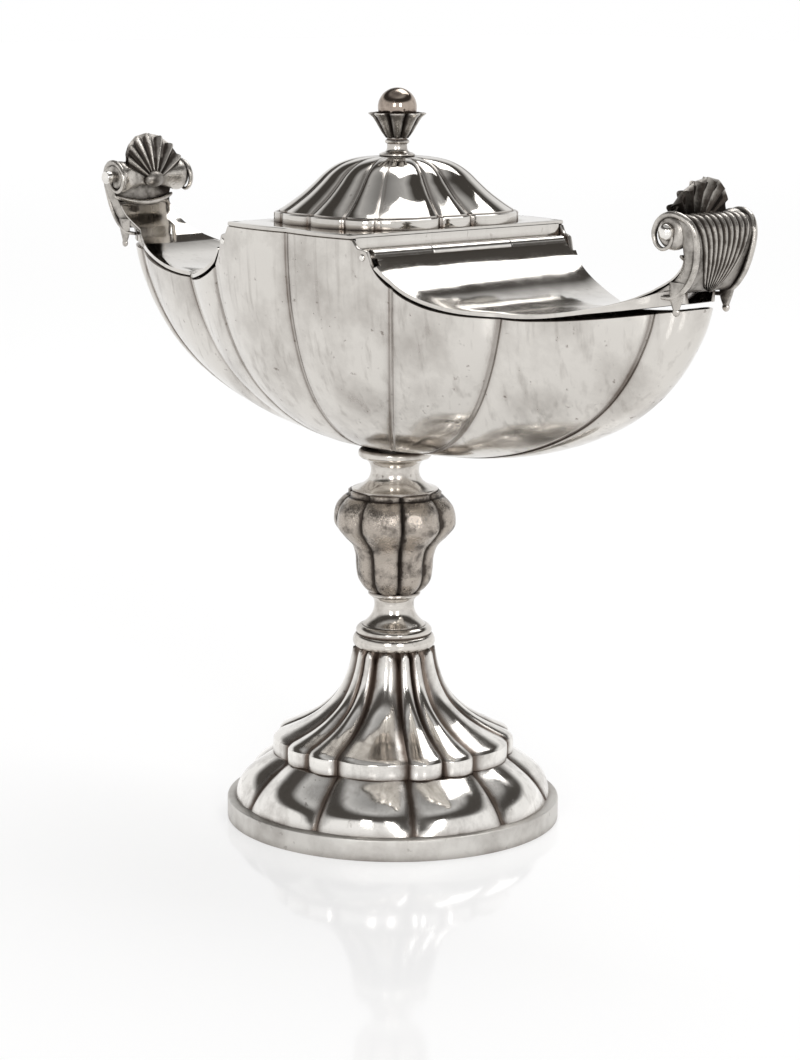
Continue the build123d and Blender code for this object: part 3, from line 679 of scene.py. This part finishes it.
class BOAT_OT_prows(bpy.types.Operator):
    """Cast the prow ornaments: scroll, cross pin, shell and ribbed leaf"""

    bl_idname = "incense_boat.prows"
    bl_label = "Prow ornaments"

    def execute(self, context):
        shape = context.scene.boat_shape
        # the scroll's stem: inner point, outer point and half width up to the roll
        stem = smooth([
            (93.4, 139.55, 93.4, 139.0, 7.6), (96.6, 141.3, 97.2, 140.1, 7.8), (99.2, 143.1, 100.6, 139.9, 8.0),
            (101.2, 145.2, 103.4, 142.8, 8.4), (102.4, 147.8, 105.2, 146.7, 9.1), (102.9, 150.4, 106.2, 150.6, 10.0),
            (102.9, 152.8, 106.0, 153.8, 10.6), (101.9, 154.4, 104.2, 156.1, 10.7), (100.5, 154.6, 101.2, 156.7, 10.7),
        ], 6)
        loops = []
        # the stem gets painted shade and tarnish all over, most on its back and least on its edges
        for ix, iz, ox, oz, half in stem:
            loop = []
            for k in range(21):
                t = 2 * k / 20 - 1
                hollow = 0.35 * (1 - t * t)
                loop.append((ix + hollow * 0.8, t * (half - 0.35), iz - hollow * 0.3, 0.25))
            for share in (0.15, 0.5, 0.85):
                loop.append((ix + (ox - ix) * share, half - 0.15 * abs(2 * share - 1), iz + (oz - iz) * share, 0.15))
            for k in range(21):
                t = 1 - 2 * k / 20
                loop.append((ox, t * (half - 0.4), oz, 0.4))
            for share in (0.85, 0.5, 0.15):
                loop.append((ix + (ox - ix) * share, 0.15 * abs(2 * share - 1) - half, iz + (oz - iz) * share, 0.15))
            loops.append(loop)
        parts = [grid(loops, cap_first=True, cap_last=True)]
        # the roll widens from its middle to a horn near each end, then closes in a volute
        roll = smooth([(2.3, 0.0), (2.6, 3.0), (3.3, 6.0), (4.05, 8.6), (3.95, 9.9), (3.3, 10.9), (2.7, 11.25)], 6)
        roll = [(r, -y) for r, y in reversed(roll)][:-1] + roll
        parts.append(turned_across(roll, SCROLL_X, SCROLL_Z, 56))
        # a raised band follows the back, rolls over and curls into a volute on each face
        bead = smooth([
            (95.4, 138.6), (99.2, 138.9), (102.6, 141.1), (105.0, 144.6), (106.1, 148.6), (106.2, 152.4),
            (105.0, 155.2), (102.6, 156.7), (99.6, 156.8), (97.1, 155.5), (95.9, 153.1), (96.5, 150.7),
            (98.4, 149.5), (100.4, 150.2), (101.3, 152.0), (100.6, 153.7),
        ], 6)
        for hand in (-1, 1):
            path, radii = [], []
            for number, (x, z) in enumerate(bead):
                share = number / (len(bead) - 1)
                out = follow([(0, 7.8), (0.2, 8.2), (0.35, 9.4), (0.5, 10.6), (0.7, 11.1), (1.0, 11.4)], share)
                path.append((x, hand * out, z))
                radii.append(0.42 + 0.38 * math.sin(math.pi * min(share * 1.2, 1)))
            parts.append(tube(path, radii))
            # leg that laps the hull's tip and ends in a drop
            leg = smooth([(100.2, hand * 7.9, 142.2), (99.9, hand * 7.9, 139.2), (99.8, hand * 7.9, 137.2),
                          (99.9, hand * 7.95, 136.0)], 6)
            widths = [follow([(0, 2.6), (0.35, 2.0), (0.8, 1.0), (1, 0.6)], k / (len(leg) - 1)) for k in range(len(leg))]
            rows = []
            for (x, y, z), half in zip(leg, widths):
                rows.append([(x + half * math.cos(a), y + 0.5 * math.sin(a), z, 0.1)
                             for a in [2 * math.pi * k / 16 for k in range(16)]])
            parts.append(grid(rows, cap_first=True, cap_last=True))
            drop = [(1.0 * math.sin(math.pi * k / 10), -1.0 * math.cos(math.pi * k / 10)) for k in range(11)]
            rows = [[(99.9 + r * math.cos(a), hand * 7.9 + 0.6 * r * math.sin(a), 135.8 + h, 0.0)
                     for a in [2 * math.pi * k / 16 for k in range(16)]] for r, h in drop]
            parts.append(grid(rows))
        lip = [(101.35 + 0.9 * (abs(y) / 9.4) ** 2, y, 146.2 + 1.9 * (y / 9.4) ** 2) for y in
               [-9.4 + 18.8 * k / 30 for k in range(31)]]
        parts.append(tube(lip, [0.35 + 0.55 * math.sin(math.pi * k / 30) ** 0.5 for k in range(31)]))
        casting = joined(*parts)

        # the pin's head is the eye of one volute, its plain end stands out beyond the other
        pins = turned_across([
            (0.3, -13.4), (1.0, -13.2), (1.6, -12.7), (1.9, -11.9), (1.8, -11.2), (1.2, -10.8), (1.2, 11.0),
            (1.3, 11.1), (1.3, 12.3), (1.4, 12.4), (1.7, 12.5), (1.7, 13.8), (1.55, 14.1), (1.2, 14.2),
        ], SCROLL_X, SCROLL_Z, 40)

        ribs = shape.shell_ribs
        spread = math.radians(62)
        rows_front, rows_back = [], []
        for step in range(21):
            run = step / 20
            front, back = [], []
            for k in range(ribs * 10 + 1):
                t = 2 * k / (ribs * 10) - 1
                angle = t * spread
                wave = math.cos(math.pi * ribs * t)
                length = (11.6 - 2.4 * t * t) * (1 + 0.045 * wave) * run + 0.5
                lean = (0.20 - 0.28 * t * t) * length + 0.9 * run ** 3
                lift = (0.15 + 0.5 * run) * wave
                y = length * math.sin(angle)
                z = 151.9 + length * math.cos(angle)
                x = 97.4 + lean
                # painted shade and tarnish in the furrows between the shell's ribs
                front.append((x - 0.65 - lift, y, z, 0.5 - 0.5 * wave))
                back.append((x + 0.65 - lift, y, z, 0.5 - 0.5 * wave))
            rows_front.append(front)
            rows_back.append(list(reversed(back)))
        shell = grid([front + back for front, back in zip(rows_front, rows_back)], cap_first=True, cap_last=True)
        boss = [(2.6 * math.sin(math.pi * k / 12), 2.2 * math.cos(math.pi * k / 12)) for k in range(13)]
        # the boss gets painted shade and tarnish too
        rows = [[(97.6 + 0.9 * r * math.cos(a), 1.2 * r * math.sin(a), 152.6 + h, 0.5)
                 for a in [2 * math.pi * k / 24 for k in range(24)]] for r, h in boss]
        shell = joined(shell, grid(rows))

        ribs = shape.leaf_ribs
        back = smooth([(101.6, 140.6), (103.5, 143.0), (105.3, 146.7), (106.25, 150.6), (106.05, 153.8),
                       (104.4, 156.0), (102.0, 156.9)], 6)
        rows = []
        for number, (x, z) in enumerate(back):
            share = number / (len(back) - 1)
            nearby = back[min(number + 1, len(back) - 1)], back[max(number - 1, 0)]
            run = (nearby[0][0] - nearby[1][0], nearby[0][1] - nearby[1][1])
            size = math.hypot(*run)
            out = (run[1] / size, -run[0] / size)
            half = follow([(0, 1.0), (0.12, 3.0), (0.4, 6.2), (0.75, 8.4), (1, 9.0)], share)
            rise = follow([(0, 1.1), (0.15, 0.7), (0.8, 0.6), (1, 0.2)], share)
            ridge = []
            for k in range(ribs * 8 + 1):
                t = 2 * k / (ribs * 8) - 1
                wave = 0.5 + 0.5 * math.cos(math.pi * ribs * t)
                high = rise * (0.35 + 0.65 * wave) * (1 - 0.5 * t ** 6)
                # painted shade and tarnish in the furrows between the leaf's ribs, and full painted shade on its
                # underside
                ridge.append((x + out[0] * high, t * half, z + out[1] * high, 1 - wave))
            under = [(x - out[0] * 0.5, -(2 * k / 8 - 1) * half, z - out[1] * 0.5, 1.0) for k in range(9)]
            rows.append(ridge + under)
        leaf = grid(rows, cap_first=True, cap_last=True)

        for side, hand in ((1, "right"), (-1, "left")):
            body = hand + "_lid"
            for name, form, node, slot, kind in (
                ("_scroll", casting, "_prow_casting", "prow_silver", "cast"),
                ("_cross_pin", pins, "_prow_pin", "pin_silver", "wire"),
                ("_shell", shell, "_prow_shell", "prow_silver", "cast"),
                ("_leaf", leaf, "_prow_leaf", "prow_silver", "cast"),
            ):
                add_piece(hand + name, *form, finish(kind), body, (hand + node,), slot, side=side)
        return {"FINISHED"}


class BOAT_OT_dome(bpy.types.Operator):
    """Raise the ribbed dome over its upright lobed flange"""

    bl_idname = "incense_boat.dome"
    bl_label = "Dome"

    def execute(self, context):
        seams = all_round(DOME_QUARTER)
        swells = [DOME_SWELL] * 14
        columns = [(lobe, place) for lobe in range(14) for place in places(26)]
        # the step where the dome rises off its flange gets painted shade, and each seam painted shade and tarnish
        levels = [(148.2, 0.997, 0.0), (148.35, 1.0, 0.0), (150.2, 1.0, 0.0), (150.45, 0.997, 0.0), (150.6, 0.988, 0.1),
                  (150.62, 0.975, 0.7), (150.66, 0.962, 0.7)]
        for step in range(1, 45):
            z = 150.6 + (163.8 - 150.6) * (1 - (1 - step / 44) ** 1.5)
            levels.append((z, min(follow(DOME_SHARES, z), 0.962), 0.0))
        rows = []
        for z, share, dark in levels:
            row = []
            for lobe, place in columns:
                x, y, seam = plan_point(seams, swells, lobe, place, share, groove=0.22)
                row.append((x, y, z, max(dark, 0.9 * seam)))
            rows.append(row)
        form = grid(rows, cap_first=True, cap_last=True)
        add_piece("dome_raised", *form, finish("burnished"), "boat", ("dome_cover",), "dome_silver")
        return {"FINISHED"}


def ring_form(seams, levels, count=24, groove=0.0, caps=(True, True)):
    """A round lobed form through levels of (height, seam radius, crown radius, painted shade and tarnish)."""
    columns = []
    for number, start in enumerate(seams):
        width = (seams[(number + 1) % len(seams)] - start) % 360
        columns += [(start + width * (place + 1) / 2, width) for place in places(count)]
    rows = []
    for z, seam_radius, crown_radius, dark in levels:
        row = []
        for bearing, width in columns:
            radius, place = lobe_radius(bearing, seams, seam_radius, crown_radius)
            distance = (1 - abs(place)) * math.radians(width / 2) * radius
            radius -= groove * math.exp(-(distance / 0.4) ** 2)
            angle = math.radians(bearing)
            # painted shade and tarnish along each seam
            row.append((radius * math.cos(angle), radius * math.sin(angle), z,
                        max(dark, 0.9 * math.exp(-(distance / 0.9) ** 2))))
        rows.append(row)
    return grid(rows, cap_first=caps[0], cap_last=caps[1])


class BOAT_OT_finial(bpy.types.Operator):
    """Turn the finial's stem and ball and chase its calyx of petals"""

    bl_idname = "incense_boat.finial"
    bl_label = "Finial"

    def execute(self, context):
        # the necks of the stem get painted shade
        stem = [(0.6, 163.7), (4.0, 163.7), (4.3, 163.95), (4.25, 164.25), (3.6, 164.55), (3.2, 164.6, 0.6)]
        stem += smooth([(3.2, 164.6), (2.6, 165.1), (2.4, 165.9), (2.4, 166.6)], 5)
        stem += [(2.45, 166.65, 0.8), (2.85, 166.85), (2.95, 167.15), (2.85, 167.45), (2.45, 167.65, 0.8),
                 (2.5, 168.1), (0.6, 168.1)]
        add_piece("finial_turned_stem", *turned(stem, 72), finish("turned"), "boat", ("finial_stem",), "finial_silver")
        seams = [FRONT + (k + 0.5) * 45 for k in range(8)]
        # the petals' root and turned-back edge get painted shade
        levels = [(168.0, 2.4, 2.7, 0.6), (168.6, 2.7, 3.2, 0.0), (169.6, 3.1, 3.9, 0.0), (170.8, 3.6, 4.6, 0.0),
                  (172.0, 4.2, 5.3, 0.0), (172.9, 4.6, 5.9, 0.2), (173.3, 4.9, 6.4, 0.0), (173.7, 5.2, 6.95, 0.0),
                  (173.95, 5.2, 6.95, 0.0), (174.05, 4.9, 6.6, 0.0), (173.6, 4.5, 5.0, 1.0), (172.6, 3.4, 3.6, 1.0)]
        add_piece("finial_petals", *ring_form(seams, levels, 16, 0.3), finish("cast"), "boat", ("finial_calyx",),
                  "finial_silver")
        ball = [(4.7 * math.cos(a), 175.3 + 4.7 * math.sin(a)) for a in
                [math.radians(-60 + 150 * k / 40) for k in range(40)]] + [(0.02, 180.0)]
        form = turned(ball, 96, False)
        form[1].append(tuple(range(95, -1, -1)))
        add_piece("finial_turned_ball", *form, finish("ball"), "boat", ("finial_ball",), "finial_silver")
        return {"FINISHED"}


class BOAT_OT_stem(bpy.types.Operator):
    """Turn the spools and the neck ring, and cast the knop of eight lobes"""

    bl_idname = "incense_boat.stem"
    bl_label = "Stem"

    def execute(self, context):
        # the necks and hollows of the ring and spools get painted shade
        ring = [(2.2, 43.2), (9.5, 43.2), (9.7, 43.35)]
        ring += smooth([(9.7, 43.35), (10.1, 44.1), (10.15, 45.0), (9.8, 46.0), (9.35, 46.4)], 5)
        ring += [(9.1, 46.5, 0.9), (9.1, 46.85, 0.9)]
        ring += smooth([(9.3, 46.9), (9.4, 47.4), (9.1, 48.0), (8.5, 48.5), (8.2, 48.6)], 4) + [(2.2, 48.6)]
        add_piece("neck_ring_turned", *turned(ring), finish("turned"), "boat", ("foot_neck_ring",), "foot_silver")
        low = [(2.2, 48.5), (7.7, 48.5, 0.9), (7.85, 48.7, 0.4)]
        low += smooth([(7.7, 48.9), (6.3, 50.2), (5.3, 51.8), (4.9, 53.4), (5.0, 54.8), (5.6, 55.8)], 6)
        low += [(5.9, 56.0, 0.9), (6.3, 56.2), (6.45, 56.5), (6.3, 56.95, 0.5), (2.2, 57.0)]
        add_piece("lower_spool_turned", *turned(low), finish("turned"), "boat", ("lower_spool",), "spool_silver")
        high = [(2.2, 82.3), (10.6, 82.3, 0.6), (10.6, 82.8)]
        high += smooth([(10.4, 82.95), (9.0, 83.4), (7.7, 84.1), (6.6, 85.1), (6.0, 86.6), (6.0, 88.2), (6.6, 89.5),
                        (7.6, 90.2)], 6)
        high += [(7.9, 90.3, 0.8), (8.5, 90.5), (8.95, 91.0), (9.05, 91.6), (8.9, 92.2), (8.5, 92.6), (8.1, 92.5)]
        high += smooth([(7.9, 92.3), (6.8, 91.3), (5.4, 90.6), (4.4, 90.45)], 4) + [(2.2, 90.4)]
        add_piece("upper_spool_turned", *turned(high), finish("turned"), "boat", ("upper_spool",), "spool_silver")
        profile = [
            (57.0, 6.0, 6.4), (58.3, 7.3, 7.9), (60.2, 8.4, 9.1), (63.0, 8.8, 9.6), (66.0, 8.9, 9.8),
            (68.8, 9.7, 10.8), (71.2, 11.8, 13.1), (73.6, 13.6, 15.0), (76.0, 13.8, 15.2), (78.4, 13.3, 14.6),
            (80.2, 12.1, 13.2), (80.9, 11.4, 12.3),
        ]
        # the knop's root and the step under its collar get painted shade, and its seams painted shade and tarnish
        levels = [(57.0, 5.2, 5.4, 0.6)] + [(*point, 0.0) for point in smooth(profile, 5)]
        levels += [(81.05, 10.9, 11.7, 1.0), (81.15, 10.8, 11.6, 0.6), (82.2, 10.8, 11.6, 0.0), (82.4, 10.5, 11.3, 0.2)]
        seams = [KNOP_SEAM + 45 * k for k in range(8)]
        add_piece("knop_cast", *ring_form(seams, levels, 26, 0.35), finish("knop"), "boat", ("knop",), "knop_silver")
        return {"FINISHED"}


class BOAT_OT_foot(bpy.types.Operator):
    """Raise the foot: rim, bulging tier of ten lobes, upright band and fluted trumpet"""

    bl_idname = "incense_boat.foot"
    bl_label = "Foot"

    def execute(self, context):
        # the rim's inside gets painted shade
        rim = [(39.7, 0.0), (40.9, 0.0), (41.24, 0.2), (41.29, 0.5), (41.29, 4.9), (41.19, 5.2), (40.9, 5.4),
               (39.9, 5.42), (38.6, 5.42, 0.5), (36.7, 5.4, 1.0), (36.7, 4.6, 1.0), (39.7, 4.6, 1.0)]
        add_piece("foot_rim_band", *turned(rim, 220), finish("satin"), "boat", ("foot_rim",), "rim_silver")

        tier_seams = [FOOT_SEAM + 36 * k for k in range(10)]
        flute_seams = []
        for number, seam in enumerate(tier_seams):
            flute_seams += [seam, seam + 18] if number % 2 == 0 else [seam]
        tier = [(5.4, 38.6, 39.3), (7.2, 37.6, 39.0), (9.6, 35.9, 38.2), (12.0, 33.6, 36.3), (14.2, 31.0, 33.4),
                (15.8, 28.9, 30.9), (16.4, 28.2, 30.0)]
        trumpet = [(20.4, 28.4, 29.8), (21.3, 27.2, 28.8), (22.6, 24.2, 26.0), (24.3, 20.7, 22.5), (26.6, 17.2, 18.9),
                   (29.8, 13.9, 15.4), (33.6, 11.7, 12.9), (38.0, 10.2, 11.2), (43.2, 9.3, 10.1)]
        levels = [("tier", *point, 0.0) for point in smooth(tier, 5)]
        # the band's lower edge gets painted shade
        levels += [("band", 16.5, 28.4, 29.8, 0.9), ("band", 16.8, 28.5, 29.9, 0.3), ("band", 18.0, 28.5, 29.95, 0.0),
                   ("band", 19.6, 28.5, 29.95, 0.0), ("band", 20.2, 28.45, 29.85, 0.0)]
        levels += [("trumpet", *point, 0.0) for point in smooth(trumpet, 7)]
        # the foot's inside gets painted shade
        inner = [(kind, z - 0.9, seam - 0.7, crown - 0.7, 0.8) for kind, z, seam, crown, _ in reversed(levels)]
        columns = []
        for number, start in enumerate(flute_seams):
            width = (flute_seams[(number + 1) % len(flute_seams)] - start) % 360
            columns += [start + width * (place + 1) / 2 for place in places(22)]
        rows = []
        for kind, z, seam_radius, crown_radius, dark in levels + inner:
            seams = tier_seams if kind == "tier" else flute_seams
            row = []
            for bearing in columns:
                radius, place = lobe_radius(bearing, seams, seam_radius, crown_radius)
                distance = (1 - abs(place)) * math.pi * radius / len(seams)
                radius -= 0.3 * math.exp(-(distance / 0.5) ** 2)
                # painted shade and tarnish along each seam
                shade_and_tarnish = max(dark, math.exp(-(distance / 1.3) ** 2))
                if kind == "trumpet" and 39.0 < z < 43.3 and dark == 0.0:
                    # each flute ends in an arch, with a sunk spandrel beside it that gets painted shade
                    arch = math.sqrt(max(1 - ((z - 39.0) / 3.9) ** 2, 0))
                    cut = min(max((abs(place) - arch) / 0.12, 0), 1)
                    radius -= 0.6 * cut
                    shade_and_tarnish = max(shade_and_tarnish, cut)
                angle = math.radians(bearing)
                row.append((radius * math.cos(angle), radius * math.sin(angle), max(z, 5.4), shade_and_tarnish))
            rows.append(row)
        form = grid(rows, loop=True)
        add_piece("foot_raised", *form, finish("foot"), "boat", ("foot_dome",), "foot_silver")
        return {"FINISHED"}


class BOAT_OT_inside(bpy.types.Operator):
    """Give the rod, screws, nuts and socket their metal"""

    bl_idname = "incense_boat.inside"
    bl_label = "Inner fittings"

    def execute(self, context):
        kinds = {"tie_rod": "steel", "finial_screw": "steel", "foot_nut": "brass", "foot_washer": "brass",
                 "finial_nut": "brass", "hull_socket": "turned"}
        for node, kind in kinds.items():
            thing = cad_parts[node]
            thing.data.materials.clear()
            thing.data.materials.append(finish(kind))
        return {"FINISHED"}


class BOAT_OT_stage(bpy.types.Operator):
    """Set the floor, the light and the camera"""

    bl_idname = "incense_boat.stage"
    bl_label = "Stage"

    def execute(self, context):
        scene = context.scene
        look = scene.boat_stage
        mesh = bpy.data.meshes.new("floor")
        size = 6.0
        mesh.from_pydata([(-size, -size, 0), (size, -size, 0), (size, size, 0), (-size, size, 0)], [], [(0, 1, 2, 3)])
        floor = bpy.data.objects.new("floor", mesh)
        scene.collection.objects.link(floor)
        # glossy white acrylic sheet: white to the camera, with a faint mirror of what stands on it
        sheet = bpy.data.materials.new("white acrylic sheet")
        sheet.use_nodes = True
        tree = sheet.node_tree
        tree.nodes.clear()
        gloss = add_node(tree, "ShaderNodeBsdfPrincipled",
                         {"Base Color": (*look.floor, 1), "Roughness": 0.07, "Specular IOR Level": 0.6})
        white = add_node(tree, "ShaderNodeEmission", {"Color": (1, 1, 1, 1), "Strength": 1.3})
        path = add_node(tree, "ShaderNodeLightPath")
        seen = add_node(tree, "ShaderNodeMath", {"operation": "MAXIMUM"},
                        {0: path.outputs["Is Camera Ray"], 1: path.outputs["Is Glossy Ray"]})
        part = add_node(tree, "ShaderNodeMath", {"operation": "MULTIPLY", 1: 0.45}, {0: seen.outputs[0]})
        both = add_node(tree, "ShaderNodeMixShader", {}, {0: part.outputs[0], 1: gloss.outputs[0], 2: white.outputs[0]})
        add_node(tree, "ShaderNodeOutputMaterial", {}, {"Surface": both.outputs[0]})
        mesh.materials.append(sheet)

        world = bpy.data.worlds.new("studio")
        scene.world = world
        world.use_nodes = True
        tree = world.node_tree
        tree.nodes.clear()
        where = add_node(tree, "ShaderNodeTexCoord")
        split = add_node(tree, "ShaderNodeSeparateXYZ", {}, {0: where.outputs["Generated"]})
        ramp = add_node(tree, "ShaderNodeValToRGB", {}, {"Fac": split.outputs["Z"]})
        stops = ramp.color_ramp.elements
        stops[0].position, stops[0].color = 0.0, (0.95, 0.95, 0.95, 1)
        stops[1].position, stops[1].color = 1.0, (0.30, 0.30, 0.30, 1)
        for position, value in ((0.40, 0.90), (0.54, None), (0.76, None), (0.86, 0.55)):
            stop = stops.new(position)
            stop.color = (*look.dark, 1) if value is None else (value, value, value, 1)
        room = add_node(tree, "ShaderNodeBackground", {"Strength": 1.0}, {"Color": ramp.outputs["Color"]})
        white = add_node(tree, "ShaderNodeBackground", {"Color": (1, 1, 1, 1), "Strength": 1.0})
        path = add_node(tree, "ShaderNodeLightPath")
        both = add_node(tree, "ShaderNodeMixShader", {}, {0: path.outputs["Is Camera Ray"], 1: room.outputs[0], 2: white.outputs[0]})
        add_node(tree, "ShaderNodeOutputWorld", {}, {"Surface": both.outputs[0]})

        # two soft boxes beside the camera, and one overhead
        aim = Vector((0, 0, 0.1))
        for name, turn, height, distance, wide, tall, power in (
            ("left soft box", FRONT - 17, 0.42, 0.95, 0.20, 0.34, 1.5),
            ("right soft box", FRONT + 19, 0.42, 0.95, 0.20, 0.34, 1.5),
            ("top soft box", FRONT + 150, 1.1, 0.6, 0.7, 0.7, 5.0),
        ):
            lamp = bpy.data.lights.new(name, "AREA")
            lamp.shape = "RECTANGLE"
            lamp.size, lamp.size_y, lamp.energy = wide, tall, power
            thing = bpy.data.objects.new(name, lamp)
            scene.collection.objects.link(thing)
            angle = math.radians(turn)
            thing.location = (distance * math.cos(angle), distance * math.sin(angle), height)
            thing.rotation_euler = (aim - thing.location).to_track_quat("-Z", "Y").to_euler()

        camera = bpy.data.cameras.new("camera")
        camera.lens = look.lens
        camera.sensor_width = 36
        camera.clip_start = 0.05
        thing = bpy.data.objects.new("camera", camera)
        scene.collection.objects.link(thing)
        thing.location = (0.5249, -0.4631, 0.2083)
        down = 0.192
        ahead = Vector((-0.7486 * math.cos(down), 0.6630 * math.cos(down), -math.sin(down)))
        right = Vector((0.6630, 0.7486, 0.0)).normalized()
        up = right.cross(ahead)
        roll = 0.007
        right, up = right * math.cos(roll) + up * math.sin(roll), up * math.cos(roll) - right * math.sin(roll)
        thing.matrix_world = Matrix.Translation(thing.location) @ Matrix((right, up, -ahead)).transposed().to_4x4()
        scene.camera = thing
        scene.view_settings.view_transform = "Standard"
        return {"FINISHED"}


class BOAT_PT_panel(bpy.types.Panel):
    """The incense boat's settings and pieces"""

    bl_label = "Incense boat"
    bl_idname = "BOAT_PT_panel"
    bl_space_type = "VIEW_3D"
    bl_region_type = "UI"
    bl_category = "Incense boat"

    def draw(self, context):
        for group in (context.scene.boat_shape, context.scene.boat_finish, context.scene.boat_stage):
            box = self.layout.box()
            for name in group.bl_rna.properties.keys():
                if name not in ("rna_type", "name"):
                    box.prop(group, name)
        for operator in OPERATORS:
            self.layout.operator(operator.bl_idname)


OPERATORS = (
    BOAT_OT_stage, BOAT_OT_foot, BOAT_OT_stem, BOAT_OT_hull, BOAT_OT_deck, BOAT_OT_dome, BOAT_OT_finial,
    BOAT_OT_hinges, BOAT_OT_lids, BOAT_OT_prows, BOAT_OT_inside,
)
GROUPS = (("boat_shape", BoatShape), ("boat_finish", BoatFinish), ("boat_stage", BoatStage))


def register():
    for name, group in GROUPS:
        bpy.utils.register_class(group)
        setattr(bpy.types.Scene, name, PointerProperty(type=group))
    for operator in OPERATORS:
        bpy.utils.register_class(operator)
    bpy.utils.register_class(BOAT_PT_panel)


def unregister():
    bpy.utils.unregister_class(BOAT_PT_panel)
    for operator in reversed(OPERATORS):
        bpy.utils.unregister_class(operator)
    for name, group in reversed(GROUPS):
        delattr(bpy.types.Scene, name)
        bpy.utils.unregister_class(group)


def main():
    register()
    for operator in OPERATORS:
        group, name = operator.bl_idname.split(".")
        getattr(getattr(bpy.ops, group), name)()


if __name__ == "__main__":
    main()
